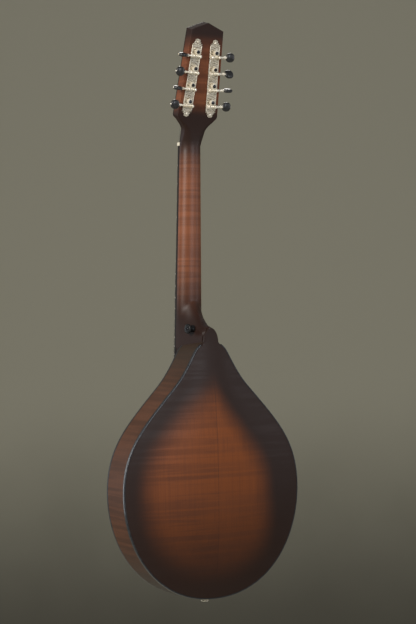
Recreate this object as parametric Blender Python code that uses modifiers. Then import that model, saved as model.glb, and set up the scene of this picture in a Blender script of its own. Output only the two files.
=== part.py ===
# Octave mandolin: teardrop body with carved plates, bolt-straight neck and worm-geared tuners.
# The instrument stands upright, +Z up the neck, its soundboard faces -Y and its treble side is +X.
# The origin lies at the nut, in the middle of the neck's depth, where a wall hanger's yoke takes it.
import math

import bmesh
import bpy
from mathutils import Matrix, Vector

mm = 0.001
seam = 0.3 * mm          # gap left at every glued or seated joint
running = 0.3 * mm       # clearance round every part that turns or slides

# Strings and neck
scale_length = 508 * mm
joint_fret = 15
fret_count = 21
neck_angle = math.radians(2.4)
board_front = -10.5 * mm           # the fingerboard's face at the nut
nut_width = 32 * mm
joint_width = 40.4 * mm            # fingerboard width at the joint fret
board_thickness = 5.5 * mm
board_length = 363 * mm
fret_height = 1.0 * mm
fret_width = 2.2 * mm
neck_depth_nut = 22 * mm           # with the fingerboard
neck_depth_joint = 23.5 * mm
nut_thickness = 5 * mm
nut_rise = 2.3 * mm                # nut's crest above the fingerboard

# Headstock
head_angle = math.radians(12.9)    # against the neck
head_drop = 5.0 * mm               # head's face behind the fingerboard's face, at the nut
head_length = 182.2 * mm
head_thickness = 16.0 * mm         # with its veneer
veneer_thickness = 1.5 * mm
head_low_width = 66 * mm
head_low_height = 46.2 * mm
head_top_width = 52.8 * mm
head_corner_height = 171.8 * mm
head_peak_width = 1.6 * mm         # blunt tip of the head's gable
throat_height = 26.5 * mm
throat_spread = 0.5 * mm           # throat beyond the nut's end

# Tuners
tuner_names = ("e1", "e2", "a1", "a2")
bass_names = ("g1", "g2", "d1", "d2")
post_pitch = 24.0 * mm
row_middle = 104.5 * mm            # middle of the four posts, up the head from the nut
row_half_gap = 17.1 * mm           # each row's distance from the centre line there
row_tilt = math.radians(2.83)
plate_width = 17 * mm
plate_thickness = 1.0 * mm
plate_above = 8.8 * mm             # square plate past the top post
plate_below = 13.0 * mm            # square plate past the bottom post
plate_finial = 9.9 * mm            # ornamental end past the square plate
gear_teeth = 14
gear_module = 0.62 * mm
gear_face = 2.6 * mm
shaft_height = 4.1 * mm            # worm axis above the plate
shaft_radius = 1.15 * mm
worm_turns = 3
lug_spread = 5.2 * mm              # bearing lugs each side of the worm
lug_thickness = 1.6 * mm
post_radius = 3.0 * mm
post_rise = 13 * mm                # string post above the head's face
button_reach = 23.7 * mm           # button's centre from the row
button_length = 12.5 * mm
button_width = 13.6 * mm
button_thickness = 6.4 * mm
button_turns = {"e1": 0, "e2": 90, "a1": 0, "a2": 90, "g1": 0, "g2": 90, "d1": 40, "d2": 0}

# Body
body_length = 374.5 * mm           # from the tail to the rounded end under the heel
joint_to_end = 9.4 * mm            # that end's reach above the joint fret
body_width = 289.6 * mm
widest_height = 157.1 * mm
overstand = 20 * mm                # fingerboard's face in front of the rim at the joint
rim_depth = 54.6 * mm
rib_thickness = 2.5 * mm
plate_edge = 4 * mm
binding_width = 1.7 * mm
top_arch = 13.5 * mm
back_arch = 15.5 * mm
plate_gain = 1.5 * mm              # plates are this much thicker in the middle than at the edge
glue_margin = 9 * mm
lining_width = 6 * mm
lining_height = 9 * mm
head_block_length = 48 * mm
head_block_width = 58 * mm
tail_block_width = 60 * mm
tail_block_length = 22 * mm
block_land = 12 * mm               # flat inside the plates beyond each block
tongue_width = 23.4 * mm
tongue_length = 20.5 * mm
tenon_width = 15 * mm
tenon_length = 14 * mm
tone_bar_width = 6 * mm
tone_bar_height = 13 * mm
fhole_length = 108 * mm
fhole_width = 8.5 * mm
fhole_eye = 6.2 * mm
fhole_gap = 128 * mm               # between the two f-holes at their middles
tone_bar_gap = 70 * mm             # between the two tone bars under the bridge's feet
tone_bar_length = 190 * mm
tone_bar_splay = 20 * mm           # how far each bar leans outwards towards the tail

# Bridge, strings and tail
string_action = 5.0 * mm           # strings above the fingerboard's plane at the bridge
nut_action = 1.2 * mm
bridge_length = 112 * mm
bridge_width = 13 * mm
bridge_base_height = 6.2 * mm
bridge_foot = 30 * mm
stud_spread = 54 * mm
stud_radius = 1.9 * mm
wheel_radius = 6 * mm
wheel_thickness = 2.2 * mm
wheel_travel = 1.5 * mm
saddle_length = 106 * mm
saddle_width = 8 * mm
saddle_height = 7 * mm
nut_spread = 26.4 * mm             # outer strings, centre to centre
bridge_spread = 47 * mm
nut_pair = 2.3 * mm
bridge_pair = 3.4 * mm
string_sizes = {"e": 0.33 * mm, "a": 0.56 * mm, "d": 0.84 * mm, "g": 1.17 * mm}
string_wraps = 2
tailpiece_width = 48 * mm
tailpiece_length = 52 * mm
tailpiece_inset = 5 * mm           # its foot stands this far inside the tail
tailpiece_lift = 13 * mm           # tailpiece above the rim plane
sheet = 1.2 * mm                   # tailpiece metal
pin_radius = 5.75 * mm
pin_length = 6.8 * mm
pin_shank = 3.2 * mm
strap_radius = 7.2 * mm
strap_height = 10.5 * mm
strap_turn = math.radians(10)      # strap button turned from the side towards the back
strap_above_end = 16 * mm
strap_behind_rim = 23.5 * mm       # its middle behind the ribs' front edge
strap_inside = 9.6 * mm            # start of its axis from the centre line

# Places worked out from the sizes
nut_to_joint = scale_length * (1 - 2 ** (-joint_fret / 12))
joint_z = -nut_to_joint * math.cos(neck_angle)
body_end = joint_z + joint_to_end
tail_z = body_end - body_length
joint_face = board_front - nut_to_joint * math.sin(neck_angle)
rim_front = joint_face + overstand
rim_back = rim_front + rim_depth
bridge_z = -scale_length * math.cos(neck_angle)
widest_z = tail_z + widest_height
lead = math.pi * gear_module
gear_pitch_radius = gear_teeth * gear_module / 2
worm_pitch_radius = 1.76 * mm
worm_drop = gear_pitch_radius + worm_pitch_radius + 0.15 * mm
gear_tip = gear_pitch_radius + 0.55 * mm
worm_tip = worm_pitch_radius + 0.44 * mm
gear_root = worm_drop - worm_tip - 0.45 * mm
worm_root = worm_drop - gear_tip - running
waist_radius = 2.2 * mm
waist_middle = 6.5 * mm            # string's place on the post, above the head's face

for old in list(bpy.data.objects):
    bpy.data.objects.remove(old, do_unlink=True)
parts = bpy.data.collections.new("octave_mandolin")
cutters = bpy.data.collections.new("cutters")
bpy.context.scene.collection.children.link(parts)
bpy.context.scene.collection.children.link(cutters)


def finish(name, colour, roughness, metallic=0.0):
    made = bpy.data.materials.new(name)
    made.use_nodes = True
    shader = made.node_tree.nodes["Principled BSDF"]
    shader.inputs["Base Color"].default_value = (*colour, 1)
    shader.inputs["Roughness"].default_value = roughness
    shader.inputs["Metallic"].default_value = metallic
    return made


burst_maple = finish("burst_maple", (0.11, 0.035, 0.012), 0.3)
rib_maple = finish("rib_maple", (0.10, 0.045, 0.025), 0.35)
neck_maple = finish("neck_maple", (0.16, 0.055, 0.02), 0.35)
spruce = finish("spruce", (0.45, 0.22, 0.07), 0.4)
raw_spruce = finish("raw_spruce", (0.62, 0.47, 0.28), 0.7)
mahogany = finish("mahogany", (0.28, 0.12, 0.06), 0.6)
black_binding = finish("black_binding", (0.012, 0.012, 0.014), 0.3)
ebony = finish("ebony", (0.018, 0.015, 0.014), 0.45)
bone = finish("bone", (0.78, 0.74, 0.62), 0.4)
nickel = finish("nickel", (0.72, 0.68, 0.58), 0.3, 1.0)
steel = finish("steel", (0.55, 0.54, 0.52), 0.35, 1.0)
brass = finish("brass", (0.70, 0.50, 0.20), 0.35, 1.0)
bronze_wire = finish("bronze_wire", (0.60, 0.38, 0.18), 0.35, 1.0)
black_button = finish("black_button", (0.010, 0.010, 0.011), 0.25)


def empty(name, location, rotation=(0, 0, 0), parent=None):
    made = bpy.data.objects.new(name, None)
    made.location = location
    made.rotation_euler = rotation
    made.parent = parent
    cutters.objects.link(made)
    return made


def place(obj, material, parent=None, location=(0, 0, 0), rotation=(0, 0, 0), cutter=False):
    obj.location = location
    obj.rotation_euler = rotation
    obj.parent = parent
    (cutters if cutter else parts).objects.link(obj)
    if cutter:
        obj.hide_render = True
        obj.display_type = "WIRE"
    elif material:
        obj.data.materials.append(material)
    return obj


def built(name, points, faces):
    """A closed mesh from a loft's points and faces, with its faces turned outwards."""
    mesh = bpy.data.meshes.new(name)
    mesh.from_pydata([tuple(p) for p in points], [], faces)
    shape = bmesh.new()
    shape.from_mesh(mesh)
    bmesh.ops.recalc_face_normals(shape, faces=shape.faces)
    shape.to_mesh(mesh)
    shape.free()
    mesh.shade_smooth()
    mesh.set_sharp_from_angle(angle=math.radians(35))
    return bpy.data.objects.new(name, mesh)


def loft(name, rings):
    """A solid through rings of equal count, capped at both ends."""
    count = len(rings[0])
    points = [p for ring in rings for p in ring]
    faces = []
    for r in range(len(rings) - 1):
        for i in range(count):
            j = (i + 1) % count
            faces.append((r * count + i, r * count + j, (r + 1) * count + j, (r + 1) * count + i))
    faces.append(tuple(range(count))[::-1])
    last = (len(rings) - 1) * count
    faces.append(tuple(range(last, last + count)))
    return built(name, points, faces)


def as_mesh(obj):
    """Turn a curve object into a mesh object with welded caps."""
    bpy.context.view_layer.update()
    seen = obj.evaluated_get(bpy.context.evaluated_depsgraph_get())
    mesh = bpy.data.meshes.new_from_object(seen)
    shape = bmesh.new()
    shape.from_mesh(mesh)
    bmesh.ops.remove_doubles(shape, verts=shape.verts, dist=0.001 * mm)
    bmesh.ops.recalc_face_normals(shape, faces=shape.faces)
    shape.to_mesh(mesh)
    shape.free()
    name = obj.name
    made = bpy.data.objects.new(name, mesh)
    bpy.data.objects.remove(obj, do_unlink=True)
    made.name = name
    return made


def flat_piece(name, outline, thickness, holes=()):
    """An outline of (x, z) points, and round holes of (x, z, radius), as a slab centred on y = 0."""
    curve = bpy.data.curves.new(name, "CURVE")
    curve.dimensions = "2D"
    curve.fill_mode = "BOTH"
    curve.extrude = thickness / 2
    rings = [outline]
    for x, z, radius in holes:
        turns = [math.tau * k / 12 for k in range(12)]
        rings.append([(x + radius * math.cos(t), z + radius * math.sin(t)) for t in turns])
    for ring in rings:
        spline = curve.splines.new("POLY")
        spline.points.add(len(ring) - 1)
        for point, (x, z) in zip(spline.points, ring):
            point.co = (x, z, 0, 1)
        spline.use_cyclic_u = True
    flat = bpy.data.objects.new(name, curve)
    parts.objects.link(flat)
    made = as_mesh(flat)
    made.data.transform(Matrix.Rotation(math.pi / 2, 4, "X"))
    return made


def block(name, low, high):
    mesh = bpy.data.meshes.new(name)
    shape = bmesh.new()
    bmesh.ops.create_cube(shape, size=1)
    low, high = Vector(low), Vector(high)
    size = high - low
    bmesh.ops.scale(shape, vec=size, verts=shape.verts)
    bmesh.ops.translate(shape, vec=(low + high) / 2, verts=shape.verts)
    shape.to_mesh(mesh)
    shape.free()
    return bpy.data.objects.new(name, mesh)


def rod(name, radius, start, end, sides=12):
    """A cylinder from one point to another."""
    mesh = bpy.data.meshes.new(name)
    shape = bmesh.new()
    start, end = Vector(start), Vector(end)
    length = (end - start).length
    bmesh.ops.create_cone(
        shape, cap_ends=True, segments=sides, radius1=radius, radius2=radius, depth=length
    )
    turn = (end - start).to_track_quat("Z", "Y").to_matrix().to_4x4()
    shape.transform(Matrix.Translation((start + end) / 2) @ turn)
    shape.to_mesh(mesh)
    shape.free()
    return bpy.data.objects.new(name, mesh)


def turned(name, profile, steps):
    """A profile of (radius, height) points, from top to bottom, turned about Z."""
    mesh = bpy.data.meshes.new(name)
    edges = [(i, i + 1) for i in range(len(profile) - 1)]
    mesh.from_pydata([(r, 0, h) for r, h in profile], edges, [])
    made = bpy.data.objects.new(name, mesh)
    screw = made.modifiers.new("turn", "SCREW")
    screw.axis = "Z"
    screw.steps = steps
    screw.render_steps = steps
    screw.use_merge_vertices = True
    screw.merge_threshold = 0.001 * mm
    return made


def combine(obj, other, operation):
    step = obj.modifiers.new(operation.lower(), "BOOLEAN")
    step.operation = operation
    step.solver = "EXACT"
    step.object = other


def bezier(p0, p1, p2, p3, count):
    found = []
    for k in range(count):
        t = k / count
        a, b, c, d = (1 - t) ** 3, 3 * (1 - t) ** 2 * t, 3 * (1 - t) * t * t, t**3
        x = a * p0[0] + b * p1[0] + c * p2[0] + d * p3[0]
        z = a * p0[1] + b * p1[1] + c * p2[1] + d * p3[1]
        found.append((x, z))
    return found


def half_outline():
    """The body's treble half from the tail's middle to the rounded end's, as (x, z) points."""
    half = body_width / 2
    low, high = widest_height, body_length
    flank = (0.549 * half, low + 0.6 * (high - low))
    shoulder = (0.19 * half, low + 0.917 * (high - low))
    points = bezier((0, 0), (0.645 * half, 0), (half, 0.486 * low), (half, low), 8)
    above = (half, low + 0.276 * (high - low))
    before = (0.807 * half, low + 0.415 * (high - low))
    points += bezier((half, low), above, before, flank, 6)
    after = (0.383 * half, low + 0.718 * (high - low))
    into = (0.349 * half, low + 0.727 * (high - low))
    points += bezier(flank, after, into, shoulder, 4)
    lift = (0.155 * half, low + 0.96 * (high - low))
    points += bezier(shoulder, lift, (0.069 * half, high), (0, high), 4)
    points.append((0, high))
    return [(x, tail_z + z) for x, z in points]


def outward(points):
    """Each outline point with its outward normal."""
    found = []
    last = len(points) - 1
    for i, (x, z) in enumerate(points):
        if i in (0, last):
            found.append(((x, z), (0, -1 if i == 0 else 1)))
            continue
        (ax, az), (bx, bz) = points[i - 1], points[i + 1]
        size = math.hypot(bx - ax, bz - az)
        found.append(((x, z), ((bz - az) / size, -(bx - ax) / size)))
    return found


outline = half_outline()
stations = outward(outline)


def inset(distance):
    return [(x - nx * distance, z - nz * distance) for (x, z), (nx, nz) in stations]


def half_width(points, z):
    """The outline's half width at a height."""
    for (ax, az), (bx, bz) in zip(points, points[1:]):
        if az <= z <= bz:
            return ax + (bx - ax) * (z - az) / (bz - az)
    return 0.0


def end_height(x, distance=0.0):
    """Height of the body's rounded upper end at a distance from its middle, pushed out or in."""
    upper = inset(-distance)[-6:]
    for (ax, az), (bx, bz) in zip(upper, upper[1:]):
        if bx <= abs(x) <= ax:
            return bz + (az - bz) * (abs(x) - bx) / (ax - bx)
    return upper[0][1]


def swell(x, z, edge, low, high, middle):
    """0 at the edge of an arched plate and 1 at its middle, with a hollow run before the rise."""
    width = half_width(edge, z)
    across = min(1.0, abs(x) / width) if width > 0 else 1.0
    reach = (middle - low) if z < middle else (high - middle)
    along = min(1.0, abs(z - middle) / reach)
    return (1 - across**2.4) ** 1.25 * (1 - along**2.4) ** 1.25


plate_outline = inset(binding_width + seam)
glue_outline = inset(glue_margin)
inner_low = tail_z + tail_block_length + block_land
inner_high = body_end - head_block_length - block_land


def outer_height(x, z, arch):
    return arch * swell(x, z, plate_outline, tail_z, body_end, widest_z)


def inner_height(x, z, arch):
    hollow = arch - plate_gain
    return hollow * swell(x, z, glue_outline, inner_low, inner_high, widest_z)


def top_surface(x, z):
    return rim_front - outer_height(x, z, top_arch)


def arched_plate(name, rows, tip, rim, outward_sign, arch):
    """A carved plate over rows of (half width, z), with an outer and an inner arched face."""
    columns = (0, 0.3, 0.56, 0.77, 0.91, 1.0)
    across = [-c for c in columns[:0:-1]] + list(columns)
    count = len(across)
    points = []
    for side in (0, 1):
        for width, z in rows:
            for c in across:
                x = width * c
                if side == 0:
                    y = rim + outward_sign * outer_height(x, z, arch)
                else:
                    y = rim - outward_sign * (plate_edge - inner_height(x, z, arch))
                points.append((x, y, z))
    total = len(rows) * count
    ends = []
    for z in (tail_z + binding_width + seam, tip):
        ends.append(len(points))
        points.append((0, rim, z))
        points.append((0, rim - outward_sign * plate_edge, z))
    faces = []
    last = len(rows) - 1
    for side in (0, 1):
        base = side * total
        for r in range(last):
            for c in range(count - 1):
                a = base + r * count + c
                faces.append((a, a + 1, a + count + 1, a + count))
        for row, end in ((0, ends[0] + side), (last, ends[1] + side)):
            for c in range(count - 1):
                a = base + row * count + c
                faces.append((a, a + 1, end))
    for c in (0, count - 1):
        for r in range(last):
            a = r * count + c
            faces.append((a, a + count, a + count + total, a + total))
        for row, end in ((0, ends[0]), (last, ends[1])):
            a = row * count + c
            faces.append((a, end, end + 1, a + total))
    return built(name, points, faces)


def tongue_half(z):
    base = end_height(tongue_width / 2)
    up = (z - base) / tongue_length
    return tongue_width / 2 * (1 - min(1.0, max(0.0, up)) ** 2) ** 0.6


def back_plate():
    rows = [(x, z) for x, z in plate_outline[1:-1] if x > tongue_width / 2 + 2 * mm]
    base = end_height(tongue_width / 2)
    for k in (0, 0.3, 0.55, 0.75, 0.9, 0.98):
        z = base + tongue_length * k
        rows.append((tongue_half(z), z))
    plate = arched_plate("back_plate", rows, base + tongue_length, rim_back, 1, back_arch)
    place(plate, burst_maple)


def fhole_outline(side):
    """One f-hole as (x, z): a slanted S-shaped slot with a round eye at each end."""
    middle_x = side * fhole_gap / 2
    rail = []
    steps = 9
    for k in range(steps + 1):
        t = 2 * k / steps - 1
        lean = -side * 9 * mm * t - side * 6 * mm * math.sin(math.pi * t)
        half = fhole_width / 2 * (1 - 0.35 * t * t)
        rail.append((middle_x + lean, bridge_z + t * (fhole_length / 2 - fhole_eye), half))
    right = [(x + h, z) for x, z, h in rail]
    left = [(x - h, z) for x, z, h in rail][::-1]
    return right + left, rail


def top_plate():
    rows = list(plate_outline[1:-1])
    plate = arched_plate("top_plate", rows, plate_outline[-1][1], rim_front, -1, top_arch)
    place(plate, spruce)
    depth = 3 * top_arch
    for side, word in ((1, "treble"), (-1, "bass")):
        slot, rail = fhole_outline(side)
        cutter = flat_piece("fhole_" + word, slot, depth)
        place(cutter, None, location=(0, rim_front - top_arch / 2, 0), cutter=True)
        for n, (x, z, half) in enumerate((rail[0], rail[-1])):
            eye_x = x + (side if n == 0 else -side) * (fhole_eye - half)
            centre = (eye_x, rim_front - top_arch / 2, z)
            ends = [(eye_x, centre[1] + s * depth / 2 * 0.9, z) for s in (-1, 1)]
            eye = rod(f"fhole_eye_{word}_{n}", fhole_eye, ends[0], ends[1], 12)
            place(eye, None, cutter=True)
            combine(cutter, eye, "UNION")
        combine(plate, cutter, "DIFFERENCE")


def round_the_body(name, path, ring):
    """A strip round the outline: path holds (point, normal), ring holds (inset, y) corners."""
    rings = []
    for (x, z), (nx, nz) in path:
        rings.append([(x - nx * d, y, z - nz * d) for d, y in ring])
    return loft(name, rings)


def path_between(stop_x):
    """Stations from the treble side's end round the tail to the bass side's, cut off at stop_x."""
    half = []
    for i, ((x, z), normal) in enumerate(stations):
        if i and x < stop_x and z > widest_z:
            (px, pz), before = stations[i - 1]
            t = (px - stop_x) / (px - x)
            mixed = [before[k] + t * (normal[k] - before[k]) for k in (0, 1)]
            size = math.hypot(*mixed)
            edge = ((stop_x, pz + t * (z - pz)), (mixed[0] / size, mixed[1] / size))
            half.append(edge)
            break
        half.append(((x, z), normal))
    bass = [((-x, z), (-nx, nz)) for (x, z), (nx, nz) in half]
    return half[::-1] + bass[1:]


def rim():
    stop = tenon_width / 2 + 4 * seam
    whole = path_between(stop)
    middle = len(whole) // 2
    low, high = rim_front + plate_edge + seam, rim_back - plate_edge - seam
    ring = [(0, low), (0, high), (rib_thickness, high), (rib_thickness, low)]
    for word, side, path in (
        ("treble", 1, whole[: middle + 1]),
        ("bass", -1, whole[middle:]),
    ):
        tail = middle if side > 0 else 0
        (x, z), normal = path[tail]
        path[tail] = ((side * seam / 2, z), normal)
        rib = round_the_body("rib_" + word, path, ring)
        place(rib, rib_maple)
        combine(rib, pin_hole, "DIFFERENCE")
    trim = path_between(tongue_width / 2 + 5 * mm)
    for word, y, inward in (("back", rim_back, -1), ("top", rim_front, 1)):
        ring = [
            (0, y),
            (0, y + inward * plate_edge),
            (binding_width, y + inward * plate_edge),
            (binding_width, y),
        ]
        path = trim if word == "back" else path_between(seam)
        place(round_the_body(word + "_binding", path, ring), black_binding)


def lining_ring(y, inward, spare=0.0):
    near, far = rib_thickness + seam - spare, rib_thickness + seam + lining_width + spare
    start, tall, short = y - inward * spare, lining_height + spare, lining_height / 3 + spare
    return [(near, start), (near, y + inward * tall), (far, y + inward * short), (far, start)]


def linings():
    start = head_block_width / 2 + rib_thickness + lining_width + 4 * seam
    path = path_between(start)
    for word, y, inward in (
        ("back", rim_back - plate_edge - seam, -1),
        ("top", rim_front + plate_edge + seam, 1),
    ):
        place(round_the_body(word + "_lining", path, lining_ring(y, inward)), mahogany)
        notch = round_the_body(word + "_lining_notch", path, lining_ring(y, inward, 2 * seam))
        place(notch, None, cutter=True)
        combine(tail_block, notch, "DIFFERENCE")


def blocks():
    """Head block with its mortise for the neck's tenon, and tail block bored for the end pin."""
    low, high = rim_front + plate_edge + seam, rim_back - plate_edge - seam
    inner = inset(rib_thickness + seam)
    top_of_block = end_height(0, -rib_thickness - seam)
    base = top_of_block - head_block_length
    half = head_block_width / 2
    mortise = tenon_width / 2 + seam
    floor = body_end - rib_thickness - tenon_length - 2 * seam
    side = [(x, z) for x, z in inner if mortise < x < half and z > widest_z]
    shape = [(half, base), (half, flank_height(inner, half))] + side
    shape += [(mortise, end_height(mortise, -rib_thickness - seam)), (mortise, floor)]
    shape += [(-x, z) for x, z in shape[::-1]]
    made = flat_piece("head_block", shape, high - low)
    place(made, mahogany, location=(0, (low + high) / 2, 0))
    lower = [(x, z) for x, z in inner if x < tail_block_width / 2 and z < widest_z]
    wide = tail_block_width / 2
    lower.append((wide, inner_tail_height(inner, wide)))
    shape = lower + [(wide, tail_z + tail_block_length), (0, tail_z + tail_block_length)]
    shape = shape[:-1] + [(-x, z) for x, z in shape[:-1][::-1] if x > 0]
    made = flat_piece("tail_block", shape, high - low)
    place(made, mahogany, location=(0, (low + high) / 2, 0))
    combine(made, pin_hole, "DIFFERENCE")
    return made


def inner_tail_height(points, x):
    for (ax, az), (bx, bz) in zip(points, points[1:]):
        if ax <= x <= bx:
            return az + (bz - az) * (x - ax) / (bx - ax)
    return points[0][1]


def flank_height(points, x):
    """Height above the widest part where an outline has narrowed to x."""
    for (ax, az), (bx, bz) in zip(points, points[1:]):
        if az > widest_z and bx <= x <= ax:
            return az + (bz - az) * (ax - x) / (ax - bx)
    return points[-1][1]


def tone_bars():
    """Two bars under the top, fitted to its hollow, spread a little towards the tail."""
    below_bridge = 0.45
    for side, word in ((1, "treble"), (-1, "bass")):
        rings = []
        for k in range(8):
            t = k / 7
            z = bridge_z + tone_bar_length * (t - below_bridge)
            x = side * (tone_bar_gap / 2 + tone_bar_splay * (below_bridge - t))
            tall = tone_bar_height * (0.3 + 0.7 * math.sin(math.pi * t))
            edges = (x - tone_bar_width / 2, x + tone_bar_width / 2)
            tops = []
            for e in edges:
                under = rim_front + plate_edge - inner_height(e, z, top_arch)
                tops.append(under + 2 * seam)
            deep = max(tops) + tall
            rings.append(
                [(edges[0], tops[0], z), (edges[1], tops[1], z), (edges[1], deep, z), (edges[0], deep, z)]
            )
        place(loft("tone_bar_" + word, rings), raw_spruce)


neck_frame = empty("neck_frame", (0, board_front, 0), (-neck_angle, 0, 0))
head_frame = empty("head_frame", (0, head_drop, 0), (-head_angle, 0, 0), neck_frame)
wood_front = board_thickness + seam


def board_half(distance):
    """Half of the fingerboard's width at a distance from the nut."""
    return (nut_width + (joint_width - nut_width) * distance / nut_to_joint) / 2


def neck_section(z, half, front, depth):
    """A C-shaped section across the neck: flat in front, short straight sides, round back."""
    side = 2.0 * mm
    ring = [(-half, front, z), (half, front, z)]
    steps = 11
    for k in range(steps + 1):
        turn = math.pi * k / steps
        x = half * math.cos(turn)
        y = front + side + (depth - front - side) * math.sin(turn) ** 0.92
        ring.append((x, y, z))
    return ring


def head_outline(start):
    """The headstock's outline from the nut end, with the truss rod's notch open at the bottom."""
    low, top, throat = head_low_width / 2, head_top_width / 2, nut_width / 2 + throat_spread
    half = [(throat, start), (throat, throat_height)]
    half += bezier(
        (throat + 0.6 * mm, throat_height + 2 * mm),
        (throat + 3 * mm, throat_height + 8 * mm),
        (low - 9 * mm, head_low_height - 8.5 * mm),
        (low - 3 * mm, head_low_height - 4.2 * mm),
        4,
    )
    half += [(low - 3 * mm, head_low_height - 4.2 * mm), (low - 0.7 * mm, head_low_height - 2 * mm)]
    half += [(low, head_low_height + 1 * mm), (top, head_corner_height)]
    half.append((head_peak_width / 2, head_length))
    return half


def neck():
    """Shaft, heel, fingerboard support, tenon and headstock as one piece of maple."""
    rings = []
    shaft_end = nut_to_joint - joint_to_end - 10 * mm
    for distance in (shaft_end, 0.75 * shaft_end, 0.5 * shaft_end, 0.25 * shaft_end, 6 * mm):
        share = distance / nut_to_joint
        depth = neck_depth_nut + (neck_depth_joint - neck_depth_nut) * share
        rings.append(neck_section(-distance, board_half(distance), wood_front, depth))
    head_slope = math.tan(head_angle)
    for z in (0, nut_thickness - 0.5 * mm):
        rings.append(neck_section(z, nut_width / 2, wood_front, neck_depth_nut))
    for z, narrower in ((nut_thickness, 0), (12 * mm, 0.2 * mm), (30 * mm, 2.0 * mm)):
        front = head_drop + veneer_thickness + z * head_slope + 2 * mm
        rings.append(neck_section(z, nut_width / 2 - narrower, front, neck_depth_nut))
    shaft = loft("neck", rings)
    place(shaft, neck_maple, neck_frame)

    start = nut_thickness + seam
    half = head_outline(start)
    wood = head_thickness - veneer_thickness - seam
    whole = half + [(-x, z) for x, z in half[::-1]]
    slab = flat_piece("head_slab", whole, wood)
    place(slab, None, head_frame, (0, head_thickness - wood / 2, 0), cutter=True)
    combine(shaft, slab, "UNION")

    heel = loft("heel", heel_rings())
    place(heel, None, cutter=True)
    combine(shaft, heel, "UNION")
    support = loft("board_support", support_rings())
    place(support, None, cutter=True)
    combine(shaft, support, "UNION")
    low, high = rim_front + plate_edge + 2 * seam, rim_back - plate_edge - 2 * seam
    floor = body_end - rib_thickness - tenon_length - seam
    tenon = block("tenon", (-tenon_width / 2, low, floor), (tenon_width / 2, high, body_end + 4 * mm))
    place(tenon, None, cutter=True)
    combine(shaft, tenon, "UNION")
    for cutter in post_holes + [rod_channel, strap_hole]:
        combine(shaft, cutter, "DIFFERENCE")


def heel_rings():
    """Level outlines of the heel from the fingerboard side to the back plate's tongue."""
    cap = rim_back - plate_edge - seam
    ridge = neck_depth_joint + joint_face
    levels = (
        (0.0, rim_front - 5.0 * mm, 78 * mm),
        (0.12, ridge - 4 * mm, 72 * mm),
        (0.28, ridge + 3.4 * mm, 56 * mm),
        (0.40, ridge + 9 * mm, 45.5 * mm),
        (0.60, ridge + 19 * mm, 34.0 * mm),
        (0.82, ridge + 31 * mm, 24.0 * mm),
        (1.0, cap, tongue_length - 2 * mm),
    )
    rings = []
    for share, y, reach in levels:
        wide = joint_width / 2 + (tongue_width / 2 - joint_width / 2) * share
        base = end_height(wide, seam)
        inner, outer = inset(-seam)[-2][0], inset(-seam)[-3][0]
        between = outer if wide > outer + 1 * mm else (inner + wide) / 2
        ring = [(x, y, end_height(x, seam)) for x in (-wide, -between, -inner, 0, inner, between, wide)]
        tip = body_end + seam + reach
        for k in range(1, 6):
            up = math.sin(math.pi / 2 * k / 6)
            ring.append((wide * (1 - up**2) ** 0.6, y, base + (tip - base) * up))
        ring.append((0, y, tip))
        for k in range(5, 0, -1):
            up = math.sin(math.pi / 2 * k / 6)
            ring.append((-wide * (1 - up**2) ** 0.6, y, base + (tip - base) * up))
        rings.append(ring)
    return rings


def board_back(z):
    """Y of the fingerboard's underside at a height in the body's frame."""
    return board_front + z * math.tan(neck_angle) + board_thickness / math.cos(neck_angle)


def support_rings():
    """The wedge of neck that carries the fingerboard over the soundboard."""
    rings = []
    end = -(board_length - 2 * mm) * math.cos(neck_angle)
    for z in (body_end + 14 * mm, body_end + seam, body_end - 30 * mm, end):
        half = board_half(-z) - 0.6 * mm
        front = board_back(z) + seam + 0.15 * mm
        if z > body_end:
            back = rim_front - seam
        else:
            back = top_surface(0, z) - 0.7 * mm
        rings.append([(-half, front, z), (half, front, z), (half, back, z), (-half, back, z)])
    return rings


def fingerboard():
    """Board and frets: one side view, drawn out to the tapering width."""
    side = [(0, 0)]
    for n in range(1, fret_count + 1):
        at = scale_length * (1 - 2 ** (-n / 12))
        side += [
            (at - fret_width / 2, 0),
            (at - fret_width / 4, -fret_height),
            (at + fret_width / 4, -fret_height),
            (at + fret_width / 2, 0),
        ]
    side += [(board_length, 0), (board_length, board_thickness), (0, board_thickness)]
    rings = []
    for s in (1, -1):
        rings.append([(s * board_half(d), y, -d) for d, y in side])
    place(loft("fingerboard", rings), ebony, neck_frame)


def course_places(spread, pair):
    """X of each string across the nut or the bridge, bass to treble."""
    step = (spread - pair) / 3
    found = {}
    for k, course in enumerate("gdae"):
        middle = -(spread - pair) / 2 + k * step
        first, second = (middle + pair / 2, middle - pair / 2)
        if course in "gd":
            first, second = second, first
        found[course + "1"], found[course + "2"] = first, second
    return found


at_nut = course_places(nut_spread, nut_pair)
at_bridge = course_places(bridge_spread, bridge_pair)


def nut():
    """A bone nut with a slot for each string."""
    half = nut_width / 2
    floor = board_thickness
    crest = -nut_rise
    top = [(-half, crest + 0.6 * mm), (-half + 0.8 * mm, crest)]
    for name, x in sorted(at_nut.items(), key=lambda pair: pair[1]):
        wide = string_sizes[name[0]] / 2 + seam
        low = -nut_action + seam
        top += [(x - wide, crest), (x - wide, low), (x + wide, low), (x + wide, crest)]
    top += [(half - 0.8 * mm, crest), (half, crest + 0.6 * mm)]
    ring = top + [(half, floor), (-half, floor)]
    rings = [[(x, y, z) for x, y in ring] for z in (seam, nut_thickness)]
    place(loft("nut", rings), bone, neck_frame)


def head_veneer():
    start = nut_thickness + 2 * seam
    half = [(rod_pocket / 2, pocket_top), (rod_pocket / 2, start)] + head_outline(start)
    whole = half + [(-x, z) for x, z in half[::-1]]
    made = flat_piece("head_veneer", whole, veneer_thickness)
    place(made, ebony, head_frame, (0, veneer_thickness / 2, 0))
    for cutter in post_holes:
        combine(made, cutter, "DIFFERENCE")


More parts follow.
